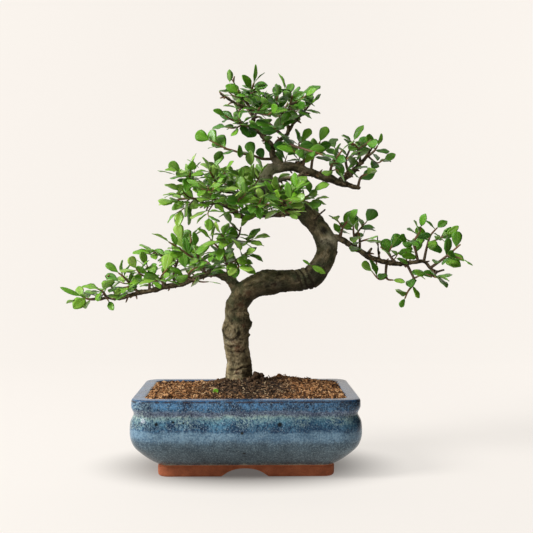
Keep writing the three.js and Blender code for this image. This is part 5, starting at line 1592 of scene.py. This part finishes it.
# %% Leaves between the first ones
# How leafy each bough is, beside the middle of the tree
LEAFINESS = {"apex": 0.38, "crown": 0.12, "centre": 1.3, "left": 0.55, "right": 0.12}

for own, path, order in list(all_twigs):
    length = np.linalg.norm(np.diff(path, axis=0), axis=1).sum()
    tries = 0 if own == LONG_SHOOT else int((14 + length / 2) * LEAFINESS[own.split("_")[0]])
    for _ in range(tries):
        extra_leaf(own, path, flush.uniform(0.15, 0.98), flush.uniform(13, 20), flush.uniform(0.2, 1.3),
                   flush.choice([0, math.pi]) + flush.uniform(-0.6, 0.6))

# %% [markdown]
# Side shoots fill the gaps between the twigs. A shoot stays only if at least two of its leaves
# find room, because a bare one would look dead.

# %% Shoots
def shoot(own, start, direction, length, leaves):
    """A short shoot with its own leaves, as a twig of the spray."""
    direction = unit(direction)
    bend = unit(direction + np.array([0, 0, 0.35]))
    path = np.array([start, start + direction * length * 0.5, start + direction * length * 0.5 + bend * length * 0.5])
    before = len(leaves_of[own])
    for number in range(leaves):
        share = 1.0 if number == leaves - 1 else 0.35 + 0.6 * number / leaves
        for attempt in range(6):
            tries = len(leaves_of[own])
            roll = (0 if number % 2 else math.pi) + flush.uniform(-0.6, 0.6)
            forward = 3.0 if share == 1.0 else flush.uniform(0.4, 1.0)
            extra_leaf(own, path, share, flush.uniform(12, 18), forward, roll)
            if len(leaves_of[own]) > tries:
                break
    if len(leaves_of[own]) - before >= 2:
        all_twigs.append((own, path, 2))


for own, path, order in list(all_twigs):
    if order < 2 and own != LONG_SHOOT:
        for _ in range(round(4 * LEAFINESS[own.split("_")[0]])):
            start, direction = path_place(path, flush.uniform(0.2, 0.9))
            lateral = unit(np.cross(direction, up_of_twig(start, direction)))
            aside = lateral * flush.choice([-1, 1]) + flush.uniform(-0.5, 0.5, 3)
            shoot(own, start, direction * 0.7 + aside, flush.uniform(9, 16), 4)

# %% [markdown]
# An old bough breaks new shoots along its whole length, and carries short bare spurs where
# leaves fell in earlier years. The spurs make its outline rough.

# %% Shoots and spurs on the boughs
BOUGH_GROUPS = ("apex", "crown", "centre", "left", "right")
for bough, rows in BRANCHES.items():
    group = bough.split("_")[0]
    if group not in BOUGH_GROUPS or "bare" in bough or "stub" in bough or "brace" in bough:
        continue
    path = np.array(rows, float)[:, :3]
    length = np.linalg.norm(np.diff(path, axis=0), axis=1).sum()
    for place in np.arange(16, length - 4, 8 / LEAFINESS[group]):
        start, direction = path_place(path, place / length)
        up = up_of_twig(start, direction)
        lateral = unit(np.cross(direction, up))
        lean = up * 0.8 + lateral * flush.uniform(-1.1, 1.1) + direction * 0.4
        names = [name for name in SPRAYS if name.startswith(group) and name != LONG_SHOOT]
        nearest_spray = min(names, key=lambda name: np.linalg.norm(twig_spots[name] - start, axis=1).min())
        shoot(nearest_spray, start, lean, flush.uniform(9, 20), 4)
for bough, rows in BRANCHES.items():
    group = bough.split("_")[0]
    if group in BOUGH_GROUPS:
        path = np.array(rows, float)
        spur_home = next(name for name in SPRAYS if name.startswith(group))
        for _ in range(int(len(path) * 1.3)):
            start, direction = path_place(path[:, :3], flush.uniform(0.1, 0.97))
            aside = unit(np.cross(direction, flush.uniform(-1, 1, 3)) + direction * 0.5)
            reach = flush.uniform(3.5, 7)
            thick_here = wood_radii[np.argmin(np.linalg.norm(wood_spots - start, axis=1))]
            base = start + aside * thick_here * 0.5
            middle = base + aside * reach * 0.6 + flush.uniform(-0.8, 0.8, 3)
            end = middle + aside * reach * 0.4 + flush.uniform(-1, 1, 3)
            all_twigs.append((spur_home, np.array([base, middle, end]), 1))
all_twigs += stalks
print("leaves in all:", sum(len(found) for found in leaves_of.values()), "on", len(all_twigs), "twigs")

# %% [markdown]
# Each twig is swept along its points by a rule: the points become a curve, and a small circle
# runs along it, thinner towards the tip. The twig's age is kept for the material.

# %% Twig rule
sweep_rule, given = rule("sweep twigs", {"Sides": "Int", "Finish": "Material"})
as_curves = node(sweep_rule, "GeometryNodeMeshToCurve", {"Mesh": given.outputs["Geometry"]})
thick = node(sweep_rule, "GeometryNodeInputNamedAttribute", {"Name": "thick"}, data_type="FLOAT")
circle = node(sweep_rule, "GeometryNodeCurvePrimitiveCircle", {"Resolution": given.outputs["Sides"], "Radius": 1.0},
              mode="RADIUS")
swept = node(sweep_rule, "GeometryNodeCurveToMesh",
             {"Curve": as_curves, "Profile Curve": circle,
              "Scale": thick, "Fill Caps": True})
real = node(sweep_rule, "GeometryNodeRealizeInstances", {"Geometry": swept})
painted = node(sweep_rule, "GeometryNodeSetMaterial",
               {"Geometry": real, "Material": given.outputs["Finish"]})
node(sweep_rule, "NodeGroupOutput", {"Geometry": painted})

# %% [markdown]
# The bark of a young twig is thin and satin smooth, brown at its root and still green at the
# tip, where it grew this year.

# %% Twig bark
twig_bark, tree, shader = material("young elm twig bark")
place = pot_millimetres(tree)
age = node(tree, "Attribute", out="Fac", attribute_name="age")
colour = node(tree, "ValToRGB", age, stops=[(0.0, "#56452f"), (0.5, "#6e4f36"), (0.8, "#8a5f3b"),
                                            (1.0, "#7c8444")])
colour = coated(tree, colour, "#33281c", node(tree, "MapRange", spots(tree, place, 1.6, 2), 0.45, 0.7),
              0.4)
fill(shader, {"Base Color": colour, "Roughness": 0.6})

# %% [markdown]
# The twigs of one bough become one piece: a mesh of bare edges first, which the rule sweeps. Each
# point carries the twig's radius there and its age.

# %% Twigs
TWIG_RADII = [(1.75, 0.85), (1.3, 0.6), (0.9, 0.45)]


def twig_piece(name, group):
    """All twigs of one bough's sprays as one swept piece."""
    points, edges, thick, age = [], [], [], []
    for own, path, order in all_twigs:
        if not own.startswith(group):
            continue
        line = spline(path, 4)
        first = len(points)
        root, tip = TWIG_RADII[min(order, 2)]
        shares = np.linspace(0, 1, len(line))
        points += list(line)
        edges += [(first + i, first + i + 1) for i in range(len(line) - 1)]
        thick += list((root + (tip - root) * shares) * MM)
        age += list(shares * 0.9 + (0.1 if order else 0))
    mesh = bpy.data.meshes.new(name + "_paths")
    mesh.from_pydata([tuple(p) for p in placed(points)], edges, [])
    mesh.attributes.new("thick", "FLOAT", "POINT").data.foreach_set("value", thick)
    mesh.attributes.new("age", "FLOAT", "POINT").data.foreach_set("value", age)
    source = bpy.data.objects.new(name + "_paths", mesh)
    bpy.context.collection.objects.link(source)
    piece = grown(name, source, sweep_rule, {"Sides": 7, "Finish": twig_bark})
    piece.data.polygons.foreach_set("use_smooth", [True] * len(piece.data.polygons))
    return piece


# %% [markdown]
# A blade is a thin leathery sheet with a short stalk, folded a little along its midrib, with the
# edges curled and the tip drooping. It is closed, with an upper and an under side, so it has a
# real thickness. Four outlines, from broad to narrow, are drawn once and repeated.

# %% Blade shapes
BLADE_ROWS = [0, 0.09, 0.24, 0.42, 0.60, 0.77, 0.89, 0.97]
OUTLINES = {
    "blade_obovate": ([0.07, 0.10, 0.46, 0.78, 0.99, 0.98, 0.78, 0.42], 0.12, 0.07),
    "blade_elliptic": ([0.07, 0.11, 0.58, 0.93, 1.0, 0.82, 0.55, 0.24], 0.24, 0.03),
    "blade_pointed": ([0.07, 0.11, 0.58, 0.90, 0.90, 0.66, 0.40, 0.15], 0.30, 0.02),
    "blade_narrow": ([0.06, 0.09, 0.46, 0.68, 0.74, 0.62, 0.44, 0.20], 0.26, 0.02),
}
# How often each outline grows
OUTLINE_SHARES = [0.36, 0.34, 0.14, 0.16]
BLADE_THICKNESS = 0.022


def blade(name, widths, fold, curl):
    """A closed blade one unit long along Y and one unit wide, facing +Z."""
    points, faces, sides, uvs = [], [], [], []
    for level in (1, -1):
        for row, (y, width) in enumerate(zip(BLADE_ROWS, widths)):
            ragged = 1 + (0.025 if row % 2 else -0.02)
            for x in (-1, -0.55, 0, 0.55, 1) if level > 0 else (0,):
                rim = abs(x) == 1
                lift = fold * abs(x) * width * 0.5 - curl * x * x * width + 0.03 * x * x * math.sin(13 * y + x)
                z = lift - LEAF_DROOP * y * y + (0 if rim else level * BLADE_THICKNESS / 2)
                points.append((x * 0.5 * width * ragged, y, z))
                uvs.append((0.5 + 0.5 * x, y))
    count = len(BLADE_ROWS)
    tip = len(points)
    points.append((0, 1, -LEAF_DROOP + curl * 0.2))
    uvs.append((0.5, 1))
    upper = lambda row, col: row * 5 + col
    lower = lambda row, col: count * 5 + row if col == 1 else upper(row, 2 * col)
    for corner, side, columns in ((upper, 1, 4), (lower, 0, 2)):
        for row in range(count - 1):
            for col in range(columns):
                face = [corner(row, col), corner(row, col + 1), corner(row + 1, col + 1), corner(row + 1, col)]
                faces.append(face[::1 if side else -1])
                sides.append(side)
        for col in range(columns):
            faces.append([corner(count - 1, col), corner(count - 1, col + 1), tip][::1 if side else -1])
            sides.append(side)
    faces.append([upper(0, col) for col in (4, 3, 2, 1, 0)] + [lower(0, 1)])
    sides.append(0)
    made = mesh_piece(name, points, faces)
    layer = made.data.uv_layers.new(name="blade")
    for loop in made.data.loops:
        layer.data[loop.index].uv = uvs[loop.vertex_index]
    made.data.attributes.new("upper", "FLOAT", "FACE").data.foreach_set("value", [float(side) for side in sides])
    return made


blades = [blade(name, *shape) for name, shape in OUTLINES.items()]

# %% [markdown]
# An elm leaf has a waxy skin: glossy and deep green on top, paler and duller below. Yellow green
# shows where it is young and along the midrib, and a little light passes through. The paler margin
# is a painted highlight on the edge, and a bluish tint on some leaves is partly a painted reflection.

# %% Leaf finish
VEIN_PAIRS = 7.0
VEIN_SLANT = 1.6
leaf_skin, tree, shader = material("waxy elm leaf")
uv = node(tree, "UVMap", out="UV", uv_map="blade")
from_middle = node(tree, "Math:SUBTRACT", node(tree, "SeparateXYZ", uv, out="X"), 0.5)
from_rib = node(tree, "Math:MULTIPLY", node(tree, "Math:ABSOLUTE", from_middle), 2.0)
tone = node(tree, "Attribute", out="Fac", attribute_name="tone")
upper_side = node(tree, "Attribute", out="Fac", attribute_name="upper")
place = pot_millimetres(tree)
drift = node(tree, "Math:MULTIPLY", node(tree, "Math:SUBTRACT", spots(tree, place, 6, 2), 0.5), 0.25)
shade_of = node(tree, "Math:ADD", tone, drift)
colour = node(tree, "ValToRGB", shade_of,
              stops=[(0.0, "#2c580d"), (0.3, "#498313"), (0.6, "#6aa520"), (0.85, "#8ab83a"),
                     (1.0, "#a8cb5a")])
# A bluish tint on some leaves, drawn at random: partly their own colour, partly a painted reflection of the sky in
# their gloss
bluish_tint_and_painted_sheen = node(tree, "Attribute", out="Fac", attribute_name="bluish_tint_and_painted_sheen")
colour = coated(tree, colour, "#35703a", bluish_tint_and_painted_sheen, 0.4)
rib = node(tree, "MapRange", from_rib, 0.09, 0.02)
# Seven pairs of veins, which slant towards the tip
along = node(tree, "Math:MULTIPLY", node(tree, "SeparateXYZ", uv, out="Y"), VEIN_PAIRS)
slant = node(tree, "Math:MULTIPLY", from_rib, -VEIN_SLANT)
vein_wave = node(tree, "Math:FRACT", node(tree, "Math:ADD", along, slant))
from_vein = node(tree, "Math:SUBTRACT", vein_wave, 0.5)
veins = node(tree, "MapRange", node(tree, "Math:ABSOLUTE", from_vein), 0.12, 0.03)
colour = coated(tree, colour, "#86a84c", veins, 0.1)
colour = coated(tree, colour, "#9cba55", rib, 0.32)
# Painted highlight: a paler margin stands for light caught on the edge of the blade
painted_edge_highlight = node(tree, "MapRange", from_rib, 0.88, 1.0)
colour = coated(tree, colour, "#a4c26a", painted_edge_highlight, 0.3)
under = node(tree, "Mix", 0.5, colour, "#7c9a52", data_type="RGBA")
colour = node(tree, "Mix", upper_side, under, colour, data_type="RGBA")
fill(shader, {"Base Color": colour, "Roughness": 0.34, "IOR": 1.45, "Subsurface Weight": 0.25,
              "Subsurface Radius": (0.35, 0.8, 0.12), "Subsurface Scale": 0.0008})
relief_of_veins = node(tree, "Math:ADD", rib, node(tree, "Math:MULTIPLY", veins, 0.5))
fill(shader, {"Normal": node(tree, "Bump", {"Height": relief_of_veins, "Distance": -0.00015})})

# %% [markdown]
# A leaf is set by a rule too. Every point is the base of a leaf and carries the way it points,
# the way it faces, its size and its outline. The rule puts a blade on each.

# %% Leaf rule
leafing, given = rule("set leaves", {"Finish": "Material"})
stems = given.outputs["Geometry"]
named = lambda name, kind: node(leafing, "GeometryNodeInputNamedAttribute", {"Name": name},
                                data_type=kind)
shapes = leafing.nodes.new("GeometryNodeJoinGeometry")
for shape in reversed(blades):
    info = node(leafing, "GeometryNodeObjectInfo", {"Object": shape, "As Instance": True}, out="Geometry")
    leafing.links.new(info, shapes.inputs[0])
turned = node(leafing, "FunctionNodeAxesToRotation",
              {"Primary Axis": named("axis", "FLOAT_VECTOR"), "Secondary Axis": named("normal", "FLOAT_VECTOR")},
              primary_axis="Y", secondary_axis="Z")
set_leaves = node(leafing, "GeometryNodeInstanceOnPoints",
                  {"Points": stems, "Instance": shapes.outputs[0], "Pick Instance": True,
                   "Instance Index": named("shape", "INT"), "Rotation": turned,
                   "Scale": named("size", "FLOAT_VECTOR")})
real = node(leafing, "GeometryNodeRealizeInstances", {"Geometry": set_leaves})
painted = node(leafing, "GeometryNodeSetMaterial",
               {"Geometry": real, "Material": given.outputs["Finish"]})
node(leafing, "NodeGroupOutput", {"Geometry": painted})

# %% [markdown]
# The leaves of each bough are one piece. Leaves at the ends of the twigs are the youngest, so
# they are the lightest, and the seedling by the trunk is lighter still.

# %% Leaves
shading = np.random.default_rng(31)
# How light the leaves of each bough are. The differences between the boughs are painted light and shade, so the
# centre and the left come out lightest
LEAF_TONES_WITH_PAINTED_LIGHT = {"apex": 0.42, "crown": 0.39, "centre": 0.77, "left": 0.72, "right": 0.52}


def drawn_size(leaf):
    """Width, length and depth of a fine blade."""
    wide, long = LEAF_GROWTH if inside_box(leaf) else (1.0, 1.0)
    return wide * leaf["swell"] * leaf["width"] * MM, long * leaf["length"] * MM, leaf["length"] * MM


def leaf_piece(name, found, mean_tone):
    """A piece with a blade for every leaf found, round this tone."""
    mesh = bpy.data.meshes.new(name + "_bases")
    mesh.from_pydata([tuple(p) for p in placed([leaf["base"] for leaf in found])], [], [])
    sizes = [drawn_size(leaf) for leaf in found]
    tones = [min(1, max(0, shading.normal(mean_tone, 0.15) + (0.12 if leaf["last"] else 0))) for leaf in found]
    shapes_of = []
    for leaf in found:
        any_form = shading.choice(len(blades), p=OUTLINE_SHARES)
        shapes_of.append(any_form if leaf["form"] is None else leaf["form"])
    for label, kind, field, values in [
            ("axis", "FLOAT_VECTOR", "vector", [leaf["axis"] for leaf in found]),
            ("normal", "FLOAT_VECTOR", "vector", [leaf["normal"] for leaf in found]),
            ("size", "FLOAT_VECTOR", "vector", sizes),
            ("tone", "FLOAT", "value", tones),
            ("bluish_tint_and_painted_sheen", "FLOAT", "value", [shading.uniform() ** 1.5 for leaf in found]),
            ("shape", "INT", "value", [int(shape) for shape in shapes_of])]:
        mesh.attributes.new(label, kind, "POINT").data.foreach_set(field, np.ravel(values))
    source = bpy.data.objects.new(name + "_bases", mesh)
    bpy.context.collection.objects.link(source)
    return grown(name, source, leafing, {"Finish": leaf_skin})


for group in BOUGH_GROUPS:
    nodes_of_group = [name for name in SPRAYS if name.startswith(group)]
    found = [leaf for name in nodes_of_group for leaf in leaves_of[name]]
    for piece in (twig_piece(f"{group}_twigs", group), leaf_piece(f"{group}_leaves", found, LEAF_TONES_WITH_PAINTED_LIGHT[group])):
        measured(piece)
        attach(piece, "root")
        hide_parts(*nodes_of_group)

# A seedling in front of the trunk: its place, where its leaves point, and how long they are
SEEDLING_PLACE = np.array([-32, -41, 83.5])
SEEDLING = [((-0.8, -0.5, 1.2), 4.2), ((0.8, -0.6, 1.6), 4.4), ((0.1, -0.6, 2.2), 4.8), ((-0.3, 0.6, 1.6), 4.0)]
seedling_leaves = []
for way, length in SEEDLING:
    axis, face_to = unit(np.array(way)), np.array([0, -0.4, 1])
    seedling_leaves.append({"base": SEEDLING_PLACE, "axis": axis, "normal": unit(face_to - axis * (face_to @ axis)),
                            "length": length, "width": 0.75 * length, "last": False, "form": 0, "swell": 1.25})
seedling = leaf_piece("soil_seedling", seedling_leaves, 0.88)
measured(seedling)
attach(seedling, "root")
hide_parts("soil")
for shape in blades:
    bpy.data.objects.remove(shape)

# %% [markdown]
# ## Size
#
# The finer pieces are meant to stay inside the box of the solids, and the leaves are kept inside it.
# The last line prints that box.

# %% Finish
print("solids:", np.round(cad_box, 4).tolist())
